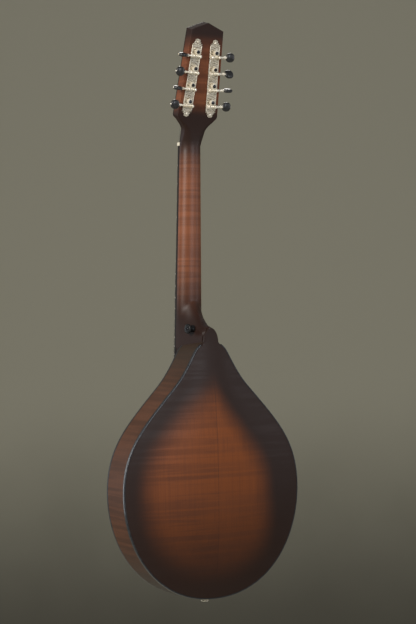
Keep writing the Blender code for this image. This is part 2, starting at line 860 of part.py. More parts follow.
rod_pocket = 9 * mm
pocket_top = 28 * mm
rod_width = 6 * mm
rod_depth = 8 * mm


def truss_rod():
    """The adjustable rod under the fingerboard, with its nut in the head's pocket."""
    reach = nut_to_joint + 20 * mm
    front = wood_front + seam
    low = (-rod_width / 2, front, -reach)
    bar = block("truss_rod", low, (rod_width / 2, front + rod_depth, nut_thickness + 0.5 * mm))
    place(bar, steel, neck_frame)
    middle = front + rod_depth / 2
    ends = (0, middle + 0.5 * mm, nut_thickness), (0, middle + 3.6 * mm, 18 * mm)
    adjuster = rod("rod_nut", 3.2 * mm, ends[0], ends[1], 6)
    place(adjuster, None, neck_frame, cutter=True)
    combine(bar, adjuster, "UNION")
    points = [(4.4 * mm, 0), (8.5 * mm, 3 * mm), (7.6 * mm, 14 * mm), (4 * mm, 23 * mm), (0.8 * mm, 27 * mm)]
    start = nut_thickness + 4 * seam
    half = [(x, start + z) for x, z in points]
    cover = flat_piece("truss_rod_cover", half + [(-x, z) for x, z in half[::-1]], 1.2 * mm)
    place(cover, ebony, head_frame, (0, -0.6 * mm - seam, 0))


def channel():
    """Cutter for the rod's channel and the pocket round its nut."""
    reach = nut_to_joint + 21 * mm
    half = rod_width / 2 + seam
    deep = wood_front + rod_depth + 2 * seam
    made = block("rod_channel", (-half, 0, -reach), (half, deep, nut_thickness + 4 * mm))
    place(made, None, neck_frame, cutter=True)
    half = rod_pocket / 2
    high = (half, deep + 3 * mm, pocket_top)
    pocket = block("rod_pocket", (-half, -2 * mm, nut_thickness + 2 * mm), high)
    place(pocket, None, neck_frame, cutter=True)
    combine(made, pocket, "UNION")
    return made


def tuner_rows():
    """Row empties on the head's back, and each tuner's name with its place along the row."""
    rows = []
    for side, word, names in ((1, "treble", tuner_names), (-1, "bass", bass_names)):
        place_at = (side * row_half_gap, head_thickness + seam, row_middle)
        frame = empty("row_" + word, place_at, (0, -side * row_tilt, 0), head_frame)
        heights = [(k - 1.5) * post_pitch for k in range(4)]
        rows.append((side, word, frame, list(zip(names, heights))))
    return rows


def post_cutters(rows):
    made = []
    for side, word, frame, tuners in rows:
        for name, z in tuners:
            ends = (0, -head_thickness - 4 * mm, z), (0, 2 * mm, z)
            hole = rod("post_hole_" + name, post_radius + running, ends[0], ends[1], 10)
            made.append(place(hole, None, frame, cutter=True))
    return made


def finial(half, reach):
    """Scalloped half outline of a plate's ornamental end, from its shoulder to its tip."""
    shares = ((1.0, 0.0), (0.80, 0.06), (0.80, 0.16), (0.98, 0.26), (0.62, 0.44), (0.50, 0.60))
    tip = ((0.52, 0.72), (0.40, 0.90), (0.14, 1.0))
    return [(half * x, reach * z) for x, z in shares + tip]


def lug(z_offset):
    """A bearing lug's side view: straight foot, half-round head, and the shaft's bore."""
    radius = shaft_radius + 1.5 * mm
    ring = [(-radius, 0), (-radius, shaft_height)]
    ring += [
        (-radius * math.cos(t), shaft_height + radius * math.sin(t))
        for t in (math.pi / 4, math.pi / 2, 3 * math.pi / 4)
    ]
    ring += [(radius, shaft_height), (radius, 0)]
    return [(z_offset + z, y) for z, y in ring]


def tuner_plate(side, word, frame, tuners):
    """One strip for four machines: scalloped ends, post collars and a pair of lugs to each worm."""
    half = plate_width / 2
    above = tuners[-1][1] + plate_above
    below = tuners[0][1] - plate_below
    upper = [(x, above + z) for x, z in finial(half, plate_finial)]
    lower = [(x, below - z) for x, z in finial(half, plate_finial)]
    ring = upper + [(-x, z) for x, z in upper[::-1]] + [(-x, z) for x, z in lower] + lower[::-1]
    bores = [(0, z, post_radius + running) for name, z in tuners]
    strip = flat_piece("tuner_plate_" + word, ring, plate_thickness, bores)
    place(strip, nickel, frame, (0, plate_thickness / 2, 0))
    for name, z in tuners:
        for end in (-1, 1):
            x = end * lug_spread
            rings = []
            for face in (x - lug_thickness / 2, x + lug_thickness / 2):
                side_view = lug(z - worm_drop)
                rings.append([(face, y - 0.3 * mm + plate_thickness, h) for h, y in side_view])
            ear = loft(f"lug_{name}_{end}", rings)
            place(ear, None, frame, cutter=True)
            combine(strip, ear, "UNION")
        axis_y = plate_thickness + shaft_height
        ends = (-8 * mm, axis_y, z - worm_drop), (8 * mm, axis_y, z - worm_drop)
        bore = rod("shaft_bore_" + name, shaft_radius + running, ends[0], ends[1], 8)
        place(bore, None, frame, cutter=True)
        combine(strip, bore, "DIFFERENCE")


def gear_post(name, frame, z):
    """String post with its gear and cap screw, all of one piece on the post's axis."""
    low = plate_thickness + shaft_height - gear_face / 2
    high = low + gear_face
    twist = gear_face / 2 * lead / (math.tau * worm_pitch_radius) / gear_pitch_radius
    tooth = math.tau / gear_teeth

    def gear_ring(y, turn):
        ring = []
        for k in range(gear_teeth):
            middle = -math.pi / 2 + (k + 0.5) * tooth
            for radius, shift in ((gear_root, -0.5), (gear_tip, -0.09), (gear_tip, 0.09)):
                angle = middle + shift * tooth - turn
                ring.append((radius * math.cos(angle), y, radius * math.sin(angle)))
        return ring

    gear = loft("gear_post_" + name, [gear_ring(low, -twist), gear_ring(high, twist)])
    place(gear, steel, frame, (0, 0, z))
    face = -head_thickness - seam
    rise = face - post_rise
    waist = face - waist_middle
    profile = [
        (0, high + 2.3 * mm),
        (1.8 * mm, high + 2.0 * mm),
        (2.8 * mm, high + 0.9 * mm),
        (2.8 * mm, waist + 3.6 * mm),
        (waist_radius, waist + 2.6 * mm),
        (waist_radius, waist - 2.6 * mm),
        (2.8 * mm, waist - 3.6 * mm),
        (2.8 * mm, rise + 0.8 * mm),
        (1.8 * mm, rise),
        (0, rise),
    ]
    profile = [(r * post_radius / (3 * mm), h) for r, h in profile]
    post = turned("post_" + name, profile, 8)
    place(post, None, frame, (0, 0, z), (-math.pi / 2, 0, 0), cutter=True)
    combine(gear, post, "UNION")


def worm_shaft(name, frame, z, side):
    """Worm with a real single-start thread on the shaft that carries the button."""
    sides = 8
    shape = ((-0.34, worm_root), (0, worm_tip), (0.34, worm_root))
    each = len(shape)
    start = -(worm_turns + 1) / 2
    columns = []
    for j in range(sides):
        turn = math.tau * j / sides
        column = []
        for n in range(worm_turns + 1):
            for share, radius in shape:
                along = start + n + share + (turn / math.tau)
                if along < -worm_turns / 2 - 0.05 or along > worm_turns / 2 + 0.05:
                    radius = worm_root
                column.append((lead * along, radius, turn + math.pi / 2))
        columns.append(column)
    inner = -side * (lug_spread + lug_thickness / 2 + 1.0 * mm)
    outer = side * (button_reach - button_length / 2 + 4 * mm)
    first, last = min(inner, outer), max(inner, outer)
    shoulder = lug_spread - lug_thickness / 2 - running
    points, faces = [], []

    def ring(x, radius):
        start_at = len(points)
        for j in range(sides):
            turn = math.tau * j / sides + math.pi / 2
            points.append((x, radius * math.cos(turn), radius * math.sin(turn)))
        return start_at

    def join(a, b):
        for j in range(sides):
            k = (j + 1) % sides
            faces.append((a + j, a + k, b + k, b + j))

    left = ring(first, shaft_radius)
    at_lug = ring(-shoulder, shaft_radius)
    left_end = ring(-shoulder, worm_root)
    join(left, at_lug)
    join(at_lug, left_end)
    height = len(columns[0])
    base_at = len(points)
    for column in columns:
        for x, radius, turn in column:
            points.append((x, radius * math.cos(turn), radius * math.sin(turn)))
    for j in range(sides - 1):
        for k in range(height - 1):
            a = base_at + j * height + k
            faces.append((a, a + 1, a + height + 1, a + height))
    final = base_at + (sides - 1) * height
    for k in range(height - 1 - each):
        faces.append((final + k, final + k + 1, base_at + k + 1 + each, base_at + k + each))
    for j in range(sides - 1):
        a = base_at + j * height
        faces.append((left_end + j, left_end + j + 1, a + height, a))
    seam_low = [base_at + k for k in range(each + 1)]
    faces.append((left_end + sides - 1, left_end, *seam_low, final))
    right_end = ring(shoulder, worm_root)
    for j in range(sides - 1):
        a = base_at + j * height + height - 1
        faces.append((right_end + j, right_end + j + 1, a + height, a))
    seam_high = [final + height - 1 - k for k in range(each + 1)]
    faces.append((right_end, right_end + sides - 1, *seam_high, base_at + height - 1))
    at_far = ring(shoulder, shaft_radius)
    right = ring(last, shaft_radius)
    join(right_end, at_far)
    join(at_far, right)
    faces.append(tuple(range(left, left + sides)))
    faces.append(tuple(range(right, right + sides)))
    made = built("worm_shaft_" + name, points, faces)
    place(made, steel, frame, (0, plate_thickness + shaft_height, z - worm_drop))


def tuner_button(name, frame, z, side):
    """A round, flat thumb button bored for the shaft, thickest in its middle."""
    half = button_length / 2
    centre = side * button_reach
    rings = []
    sides = 8
    for share, swell_to in ((-1.0, 0.36), (-0.86, 0.66), (-0.45, 0.93), (0.1, 1.0), (0.62, 0.84), (1.0, 0.34)):
        ring = []
        for j in range(sides):
            turn = math.tau * (j + 0.5) / sides
            wide = button_width / 2 * swell_to
            thick = button_thickness / 2 * (0.55 + 0.45 * swell_to)
            y, z_here = thick * math.cos(turn), wide * math.sin(turn)
            ring.append((centre + side * half * share, y, z_here))
        rings.append(ring)
    made = loft("tuner_button_" + name, rings)
    spot = (0, plate_thickness + shaft_height, z - worm_drop)
    place(made, black_button, frame, spot, (math.radians(button_turns[name]), 0, 0))
    inner = centre - side * (half + 1 * mm)
    bore_end = centre - side * (half - 4 * mm) + side * seam
    bore = rod("button_bore_" + name, shaft_radius + seam, (inner, 0, 0), (bore_end, 0, 0), 8)
    place(bore, None, frame, spot, cutter=True)
    combine(made, bore, "DIFFERENCE")


def bridge():
    """Ebony base with two studs, thumbwheels on them, and the saddle that they lift."""
    base_face = top_surface(0, bridge_z) - seam - bridge_base_height
    rings = []
    half = bridge_length / 2
    arch_cut = half - bridge_foot
    for x in (-1.0, -0.8, -0.55, -0.5, -0.3, 0.0, 0.3, 0.5, 0.55, 0.8, 1.0):
        x *= half
        raised = 0 if abs(x) > arch_cut else 2.4 * mm * (1 - (x / arch_cut) ** 2)
        wide = bridge_width / 2 * (1 - 0.45 * (abs(x) / half) ** 3)
        under = [min(top_surface(x, bridge_z + s * wide) for s in (-1, 1)) - seam - raised]
        crown = base_face + (abs(x) / half) ** 2 * 1.6 * mm
        crown = min(crown, under[0] - 2.2 * mm)
        ring = [(x, under[0], bridge_z - wide), (x, under[0], bridge_z + wide)]
        ring += [(x, crown, bridge_z + 0.55 * wide), (x, crown, bridge_z - 0.55 * wide)]
        rings.append(ring)
    base = loft("bridge_base", rings)
    place(base, ebony)
    board_there = board_front - scale_length * math.sin(neck_angle)
    crest = board_there - string_action + seam
    saddle_low = crest + saddle_height
    stud_top = saddle_low - wheel_travel - 1.8 * mm
    spot = stud_spread / 2
    crown_there = base_face + (spot / half) ** 2 * 1.6 * mm
    rings = []
    wide = saddle_width / 2
    for x in (-1.0, -0.97, -0.7, 0.7, 0.97, 1.0):
        low = saddle_low if abs(x) < 0.98 else saddle_low - 2 * mm
        high = crest if abs(x) < 0.9 else crest + (0.8 if abs(x) < 0.98 else 2.5) * mm
        x *= saddle_length / 2
        ring = [(x, low, bridge_z - wide), (x, low, bridge_z + wide)]
        ring += [(x, high, bridge_z + 0.35 * wide), (x, high, bridge_z - 0.35 * wide)]
        rings.append(ring)
    saddle = loft("bridge_saddle", rings)
    place(saddle, ebony)
    for side, word in ((1, "treble"), (-1, "bass")):
        x = side * spot
        stud = rod("stud_" + word, stud_radius, (x, crown_there + 3 * mm, bridge_z), (x, stud_top, bridge_z), 10)
        place(stud, None, cutter=True)
        combine(base, stud, "UNION")
        deep = stud_top - wheel_travel - running
        start = (x, saddle_low + 1 * mm, bridge_z)
        bore = rod("stud_bore_" + word, stud_radius + running, start, (x, deep, bridge_z), 10)
        place(bore, None, cutter=True)
        combine(saddle, bore, "DIFFERENCE")
        low = wheel_radius - 0.5 * mm
        profile = [
            (stud_radius + running, wheel_thickness / 2),
            (low, wheel_thickness / 2),
            (wheel_radius, wheel_thickness / 4),
            (wheel_radius, -wheel_thickness / 4),
            (low, -wheel_thickness / 2),
            (stud_radius + running, -wheel_thickness / 2),
            (stud_radius + running, wheel_thickness / 2),
        ]
        wheel = turned("bridge_wheel_" + word, profile, 14)
        y = saddle_low + seam + wheel_thickness / 2
        place(wheel, brass, None, (x, y, bridge_z), (-math.pi / 2, 0, 0))


hook_z = tail_z + 0.78 * tailpiece_length
hook_share = 0.8         # string spread at the hooks against that at the bridge


def tail_fittings():
    """Folded tailpiece with its hooks, the cover over it, and the end pin in the tail block."""
    fold = tail_z + tailpiece_inset
    bend = 2.5 * mm
    plane = rim_front - tailpiece_lift
    half = tailpiece_width / 2
    foot = top_surface(0, fold) - 2 * seam
    back_row = [(fold, foot), (fold, plane + bend), (fold + bend, plane), (tail_z + tailpiece_length, plane)]
    front_row = [
        (tail_z + tailpiece_length, plane - sheet),
        (fold + bend - 0.5 * sheet, plane - sheet),
        (fold - sheet, plane + bend - 0.5 * sheet),
        (fold - sheet, foot),
    ]
    side = back_row + front_row
    rings = [[(x, y, z) for z, y in side] for x in (-half, half)]
    tailpiece = loft("tailpiece", rings)
    place(tailpiece, nickel)
    for name, x in at_bridge.items():
        start = (hook_share * x, plane, hook_z - 2 * mm)
        end = (hook_share * x, plane - 4.2 * mm, hook_z - 2.6 * mm)
        hook = rod("hook_" + name, 0.8 * mm, start, end, 5)
        place(hook, None, cutter=True)
        combine(tailpiece, hook, "UNION")
    rings = []
    wide = half + seam + 1.0 * mm
    cover_start, cover_end = fold + seam, tail_z + tailpiece_length + 10 * mm
    for z, tall in ((cover_start, 7.6 * mm), (tail_z + 20 * mm, 9.5 * mm), (cover_end, 11.4 * mm)):
        ring = []
        for shell, turn in ((0.0, 1), (1.0 * mm, -1)):
            arc = [(wide - shell, plane + sheet)]
            for k in range(7):
                t = math.pi * k / 6
                x = (wide - shell) * math.cos(t)
                arc.append((x, plane - (tall - shell) * (0.55 + 0.45 * math.sin(t))))
            arc.append((-(wide - shell), arc[0][1]))
            ring += [(x, y, z) for x, y in arc[::turn]]
        rings.append(ring)
    place(loft("tailpiece_cover", rings), nickel)
    base = tail_z - seam
    shank_top = tail_z + tail_block_length - 3 * mm
    end = tail_z - pin_length
    profile = [
        (0, shank_top),
        (pin_shank * 0.8, shank_top),
        (pin_shank, base),
        (pin_radius, base),
        (pin_radius, base - 1.1 * mm),
        (pin_radius - 1.7 * mm, base - 1.9 * mm),
        (pin_radius - 1.7 * mm, end + 2.3 * mm),
        (pin_radius, end + 1.5 * mm),
        (pin_radius, end + 0.5 * mm),
        (pin_radius - 0.5 * mm, end),
        (0, end),
    ]
    place(turned("end_pin", profile, 14), nickel, None, (0, pin_y, 0))


pin_y = (rim_front + rim_back) / 2 - 3 * mm
strap_z = body_end + strap_above_end


def strap_frame():
    """Empty on the heel's treble flank; its Z points out along the strap button's screw."""
    spot = (strap_inside, rim_front + strap_behind_rim, strap_z)
    direction = Vector((math.cos(strap_turn), math.sin(strap_turn), 0))
    made = empty("strap_frame", spot)
    made.rotation_euler = direction.to_track_quat("Z", "Y").to_euler()
    return made


def strap_button(frame):
    """Waisted black button screwed to the heel."""
    foot = 4.2 * mm
    profile = [
        (0, foot + strap_height),
        (0.80 * strap_radius, foot + strap_height),
        (strap_radius, foot + 0.86 * strap_height),
        (strap_radius, foot + 0.72 * strap_height),
        (0.55 * strap_radius, foot + 0.45 * strap_height),
        (0.55 * strap_radius, foot + 0.25 * strap_height),
        (0.78 * strap_radius, foot),
        (1.7 * mm, foot),
        (1.2 * mm, -8 * mm),
        (0, -8 * mm),
    ]
    place(turned("strap_button", profile, 14), black_button, frame)


def string_route(name, frame, z, side):
    """Points from the tailpiece's hook over the bridge and nut, and down round the post."""
    radius = string_sizes[name[0]] / 2
    to_world = frame.matrix_world
    neck_world = neck_frame.matrix_world
    board_there = board_front - scale_length * math.sin(neck_angle)
    plane = rim_front - tailpiece_lift
    hook_x = hook_share * at_bridge[name]
    points = [
        Vector((hook_x, plane - sheet - 1.4 * mm - radius, hook_z - 2.6 * mm + 0.8 * mm + seam + radius)),
        Vector((at_bridge[name], board_there - string_action - radius, bridge_z)),
    ]
    height = -nut_action - radius
    for along in (seam, nut_thickness):
        points.append(neck_world @ Vector((at_nut[name], height, along)))
    coil = waist_radius + running + radius
    level = -head_thickness - seam - waist_middle
    pitch = 2 * radius + 0.45 * mm
    top = level - pitch * string_wraps / 2
    per_turn = 7
    first = math.pi if side > 0 else 0
    for k in range(per_turn * string_wraps + 1):
        turn = first - side * math.tau * k / per_turn
        y = top + pitch * k / per_turn
        local = Vector((coil * math.cos(turn), y, z + coil * math.sin(turn)))
        points.append(to_world @ local)
    return points, radius


def string(name, frame, z, side):
    points, radius = string_route(name, frame, z, side)
    curve = bpy.data.curves.new("string_" + name, "CURVE")
    curve.dimensions = "3D"
    curve.bevel_depth = radius
    curve.bevel_resolution = 1
    curve.use_fill_caps = True
    spline = curve.splines.new("POLY")
    spline.points.add(len(points) - 1)
    for point, where in zip(spline.points, points):
        point.co = (*where, 1)
    plain = name[0] in "ea"
    made = bpy.data.objects.new("string_" + name, curve)
    place(made, steel if plain else bronze_wire)


rows = tuner_rows()
post_holes = post_cutters(rows)
rod_channel = channel()
pin_hole = rod("pin_hole", pin_shank + running, (0, pin_y, tail_z - 10 * mm), (0, pin_y, tail_z + 60 * mm), 12)
place(pin_hole, None, cutter=True)
strap_at = strap_frame()
strap_hole = rod("strap_hole", 2.1 * mm, (0, 0, -9 * mm), (0, 0, 12 * mm), 10)
place(strap_hole, None, strap_at, cutter=True)
bpy.context.view_layer.update()

back_plate()
top_plate()
rim()
tail_block = blocks()
linings()
tone_bars()
neck()
fingerboard()
nut()
head_veneer()
truss_rod()
bridge()
tail_fittings()
strap_button(strap_at)
for side, word, frame, tuners in rows:
    tuner_plate(side, word, frame, tuners)
    for name, z in tuners:
        gear_post(name, frame, z)
        worm_shaft(name, frame, z, side)
        tuner_button(name, frame, z, side)
        string(name, frame, z, side)
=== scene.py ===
import math

import bmesh
import bpy
import numpy as np
from mathutils import Matrix, Vector


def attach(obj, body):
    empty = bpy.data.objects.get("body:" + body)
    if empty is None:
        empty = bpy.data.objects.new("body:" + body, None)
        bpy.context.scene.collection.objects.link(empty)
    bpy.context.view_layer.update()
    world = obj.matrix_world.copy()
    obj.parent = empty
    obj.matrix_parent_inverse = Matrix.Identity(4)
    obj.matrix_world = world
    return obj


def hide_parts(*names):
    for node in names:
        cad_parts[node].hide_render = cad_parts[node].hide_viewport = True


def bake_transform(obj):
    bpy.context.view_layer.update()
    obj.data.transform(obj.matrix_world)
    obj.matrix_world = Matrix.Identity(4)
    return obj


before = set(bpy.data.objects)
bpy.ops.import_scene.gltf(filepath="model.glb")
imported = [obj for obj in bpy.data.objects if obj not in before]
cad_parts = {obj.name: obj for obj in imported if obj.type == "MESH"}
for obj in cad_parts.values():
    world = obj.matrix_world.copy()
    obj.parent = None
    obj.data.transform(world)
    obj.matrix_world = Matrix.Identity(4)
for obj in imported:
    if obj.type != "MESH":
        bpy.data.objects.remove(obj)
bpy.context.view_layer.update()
mm = 0.001

# shared places, in the part's own frame
body = {
    "tail": -659.254 * mm,
    "end": -284.754 * mm,          # rounded upper end under the heel
    "widest": -502.154 * mm,
    "length": 374.5 * mm,
    "half": 144.8 * mm,
    "rimFront": -2.829 * mm,
    "rimBack": 51.771 * mm,
    "edge": 4 * mm,                # plate thickness at the edge
    "binding": 1.7 * mm,
    "rib": 2.5 * mm,
    "seam": 0.3 * mm,
    "topArch": 13.5 * mm,
    "backArch": 15.5 * mm,
}
neckSizes = {
    "scale": 508 * mm,
    "lean": math.radians(2.4),
    "boardFront": -10.5 * mm,
    "boardThickness": 5.5 * mm,
    "boardLength": 363 * mm,
    "nutHalf": 16 * mm,
    "jointHalf": 20.2 * mm,
    "joint": 294.412 * mm,
    "depthNut": 22 * mm,
    "depthJoint": 23.5 * mm,
    "woodFront": 5.8 * mm,
}
headSizes = {
    "lean": math.radians(12.9),
    "drop": 5.0 * mm,
    "thickness": 16.0 * mm,
    "front": 1.8 * mm,             # behind the veneer
    "rowMiddle": 104.5 * mm,
    "rowGap": 17.1 * mm,
    "rowTilt": math.radians(2.83),
    "pitch": 24.0 * mm,
}
bridgeZ = -neckSizes["scale"] * math.cos(neckSizes["lean"])
neckPlace = Matrix.Translation((0, neckSizes["boardFront"], 0)) @ Matrix.Rotation(-neckSizes["lean"], 4, "X")
headLean = Matrix.Rotation(-headSizes["lean"], 4, "X")
headPlace = neckPlace @ Matrix.Translation((0, headSizes["drop"], 0)) @ headLean
tuners = [("e1", 1, 0), ("e2", 1, 1), ("a1", 1, 2), ("a2", 1, 3)]
tuners += [("g1", -1, 0), ("g2", -1, 1), ("d1", -1, 2), ("d2", -1, 3)]
rowPlace = {}
for side in (1, -1):
    offset = (side * headSizes["rowGap"], headSizes["thickness"] + body["seam"], headSizes["rowMiddle"])
    rowTurn = Matrix.Rotation(-side * headSizes["rowTilt"], 4, "Y")
    rowPlace[side] = headPlace @ Matrix.Translation(offset) @ rowTurn


class Wire:
    def __init__(self, tree, socket):
        self.tree, self.socket = tree, socket

    def maths(self, operation, first, second):
        made = self.tree.nodes.new("ShaderNodeMath")
        made.operation = operation
        for slot, value in zip(made.inputs, (first, second)):
            if isinstance(value, Wire):
                self.tree.links.new(value.socket, slot)
            else:
                slot.default_value = value
        return Wire(self.tree, made.outputs[0])

    def __add__(self, other):
        return self.maths("ADD", self, other)

    def __radd__(self, other):
        return self.maths("ADD", other, self)

    def __sub__(self, other):
        return self.maths("SUBTRACT", self, other)

    def __rsub__(self, other):
        return self.maths("SUBTRACT", other, self)

    def __mul__(self, other):
        return self.maths("MULTIPLY", self, other)

    def __rmul__(self, other):
        return self.maths("MULTIPLY", other, self)

    def __truediv__(self, other):
        return self.maths("DIVIDE", self, other)

    def __rtruediv__(self, other):
        return self.maths("DIVIDE", other, self)

    def __pow__(self, other):
        return self.maths("POWER", self, other)

    def __abs__(self):
        return self.maths("ABSOLUTE", self, 0.0)


class Finish:
    def __init__(self, name, slot, fixed):
        self.material = bpy.data.materials.new(name)
        self.material.use_nodes = True
        self.slot = slot
        self.tree = self.material.node_tree
        self.shader = self.tree.nodes["Principled BSDF"]
        for key, value in fixed.items():
            self.lead(key, value)

    def node(self, kind, settings, sockets, out=0):
        made = self.tree.nodes.new(kind)
        for key, value in settings.items():
            if key == "stops":
                ramp = made.color_ramp
                while len(ramp.elements) < len(value):
                    ramp.elements.new(0.5)
                for element, (spot, colour) in zip(ramp.elements, value):
                    element.position = spot
                    element.color = (*colour, 1)
            else:
                setattr(made, key, value)
        for key, value in sockets.items():
            if isinstance(value, Wire):
                self.tree.links.new(value.socket, made.inputs[key])
            else:
                made.inputs[key].default_value = value
        return Wire(self.tree, made.outputs[out])

    def lead(self, key, value):
        if isinstance(value, Wire):
            self.tree.links.new(value.socket, self.shader.inputs[key])
        else:
            self.shader.inputs[key].default_value = (*value, 1) if isinstance(value, tuple) else value

    def spot(self):
        return self.node("ShaderNodeTexCoord", {}, {}, 3)

    def part(self, vector, axis):
        return self.node("ShaderNodeSeparateXYZ", {}, {0: vector}, axis)

    def stretched(self, vector, factors):
        return self.node("ShaderNodeVectorMath", {"operation": "MULTIPLY"}, {0: vector, 1: factors})

    def noise(self, vector, scale, detail=4.0, rough=0.55, bend=0.0):
        sockets = {"Vector": vector, "Scale": scale, "Detail": detail, "Roughness": rough, "Distortion": bend}
        return self.node("ShaderNodeTexNoise", {}, sockets)

    def between(self, value, low, high, toLow=0.0, toHigh=1.0):
        sockets = {"Value": value, "From Min": low, "From Max": high, "To Min": toLow, "To Max": toHigh}
        return self.node("ShaderNodeMapRange", {"interpolation_type": "SMOOTHSTEP"}, sockets)

    def mixed(self, share, first, second, way="MIX"):
        settings = {"data_type": "RGBA", "blend_type": way}
        colours = [(*c, 1) if isinstance(c, tuple) else c for c in (first, second)]
        return self.node("ShaderNodeMix", settings, {0: share, 6: colours[0], 7: colours[1]}, 2)

    def marked(self, name):
        return self.node("ShaderNodeAttribute", {"attribute_name": name}, {}, 2)

    def raised(self, height, distance, strength=1.0):
        sockets = {"Height": height, "Distance": distance, "Strength": strength}
        self.lead("Normal", self.node("ShaderNodeBump", {}, sockets))


mapleUser = {
    "flameFine": (6, 6, 190),      # cycles a metre along x, y and z
    "flameWide": (3, 3, 46),
    "grain": (520, 520, 9),
    "centre": (0.228, 0.060, 0.0120),
    "stripe": (0.105, 0.030, 0.010),
    "edge": (0.0225, 0.0100, 0.0068),
    "burstFrom": 16 * mm,
    "burstTo": 64 * mm,
    "bassShadeWidth": 30 * mm,          # painted shade: how much broader the burst is drawn on the bass side, away from the key lamp
    "bassShadeFade": (-0.62, -0.50),     # heights between which that painted shade fades out
    "darkTail": (-0.69, -0.42),    # heights between which the back turns darker towards the tail
}


def flame(finish, spot, seed):
    shifted = finish.node("ShaderNodeVectorMath", {"operation": "ADD"}, {0: spot, 1: seed})
    fine = finish.noise(finish.stretched(shifted, mapleUser["flameFine"]), 1.0, 3.0, 0.55, 0.35)
    wide = finish.noise(finish.stretched(shifted, mapleUser["flameWide"]), 1.0, 2.0, 0.5, 0.2)
    return finish.between(fine * 0.7 + wide * 0.3, 0.41, 0.60)


def woodGrain(finish, spot, cycles):
    return finish.noise(finish.stretched(spot, cycles), 1.0, 5.0, 0.6)


def backMaple():
    user = mapleUser
    made = Finish("burstFlamedMaple", "burst_maple",
                  {"Coat Weight": 0.2, "Coat Roughness": 0.5, "Specular IOR Level": 0.14})
    spot = made.spot()
    across = made.part(spot, 0)
    treble = made.between(across, -0.4 * mm, 0.4 * mm)
    mirrored = made.node("ShaderNodeVectorMath", {"operation": "ABSOLUTE"}, {0: spot})
    figure = flame(made, mirrored, (0.31, 0.0, 0.17))
    calm = made.noise(made.stretched(mirrored, (16, 16, 16)), 1.0, 2.0)
    strength = made.between(calm, 0.35, 0.7, 0.38, 0.68) * (0.6 + 0.4 * treble)
    grain = woodGrain(made, spot, user["grain"])
    stripes = 1 - (1 - figure) * strength
    wood = made.mixed(stripes, user["stripe"], user["centre"])
    wood = made.mixed(made.between(grain, 0.35, 0.75, 0.0, 0.35), wood, (0.10, 0.030, 0.012))
    seamLine = 1 - made.between(abs(across), 0.15 * mm, 0.7 * mm)
    wood = made.mixed(seamLine * 0.5, wood, user["edge"])
    patchy = made.noise(made.stretched(spot, (11, 11, 9)), 1.0, 2.0) * (14 * mm)
    # painted shade: the burst's dark edge is drawn broader on the bass side, for light falling off away from
    # the key lamp
    paintedBassShade = made.between(across, -60 * mm, 60 * mm, user["bassShadeWidth"], 0.0)
    paintedBassShade = paintedBassShade * made.between(made.part(spot, 2), user["bassShadeFade"][0], user["bassShadeFade"][1])
    inward = made.between(made.marked("edgeDistance") + patchy - paintedBassShade, user["burstFrom"], user["burstTo"])
    shoulder = 1 - made.between(made.part(spot, 2), -0.385, -0.315)
    low = made.between(made.part(spot, 2), user["darkTail"][0], user["darkTail"][1])
    made.lead("Base Color", made.mixed(inward * shoulder * low, user["edge"], wood))
    made.lead("Roughness", made.between(figure, 0.0, 1.0, 0.46, 0.38))
    made.raised(grain * 0.4 + figure * 0.6, 0.05 * mm, 0.5)
    return made


def ribMaple():
    made = Finish("sideFlamedMaple", "rib_maple",
                  {"Coat Weight": 0.12, "Coat Roughness": 0.4, "Roughness": 0.55, "Specular IOR Level": 0.18})
    spot = made.spot()
    figure = flame(made, spot, (0.05, 0.2, 0.4))
    grain = woodGrain(made, spot, (14, 640, 14))
    wood = made.mixed(figure * 0.5, (0.068, 0.029, 0.016), (0.134, 0.054, 0.028))
    wood = made.mixed(made.between(grain, 0.4, 0.75, 0.0, 0.3), wood, (0.04, 0.018, 0.011))
    low = made.between(made.part(spot, 2), -0.655, -0.56)      # darker towards the tail
    upper = 1 - made.between(made.part(spot, 2), -0.37, -0.30) * 0.85
    made.lead("Base Color", made.mixed(low * upper, (0.036, 0.025, 0.017), wood))
    made.raised(grain * 0.5 + figure * 0.5, 0.05 * mm, 0.5)
    return made


def neckMaple():
    made = Finish("neckMapleBurst", "neck_maple",
                  {"Coat Roughness": 0.38, "Specular IOR Level": 0.18})
    spot = made.spot()
    along = made.part(spot, 2)
    figure = flame(made, spot, (0.7, 0.1, 0.9))
    grain = woodGrain(made, spot, (620, 620, 11))
    wood = made.mixed(figure * 0.6, (0.180, 0.056, 0.022), (0.318, 0.103, 0.039))
    wood = made.mixed(made.between(grain, 0.4, 0.75, 0.0, 0.3), wood, (0.100, 0.032, 0.015))
    heelDark = made.between(along, -0.262, -0.155)
    nutDark = 1 - made.between(along, -0.050, 0.008) * (1 - made.between(along, 0.040, 0.068))
    # the head is stained deeper
    wood = made.mixed(made.between(along, 0.05, 0.09, 0.0, 0.3), wood, (0.100, 0.028, 0.013))
    topDark = 1 - made.between(along, 0.128, 0.158)
    dark = made.mixed(grain * 0.4, (0.020, 0.0085, 0.006), (0.033, 0.013, 0.0085))
    wood = made.mixed(heelDark * nutDark * topDark * 0.93, dark, wood)
    # the head's sloping ends are bare end grain, stained dark and dull
    upward = made.part(made.node("ShaderNodeTexCoord", {}, {}, 1), 2)
    endGrain = made.between(upward, 0.70, 0.82)
    made.lead("Base Color", made.mixed(endGrain, wood, (0.018, 0.008, 0.006)))
    made.lead("Roughness", made.between(endGrain, 0.0, 1.0, 0.5, 0.9))
    # rubbed bright along the shaft by the player's hand
    shaftOnly = made.between(along, -0.262, -0.205) * (1 - made.between(along, -0.010, 0.035))
    made.lead("Coat Weight", (shaftOnly * 0.38 + 0.08) * (1 - endGrain))
    made.raised(grain, 0.04 * mm, 0.5)
    return made


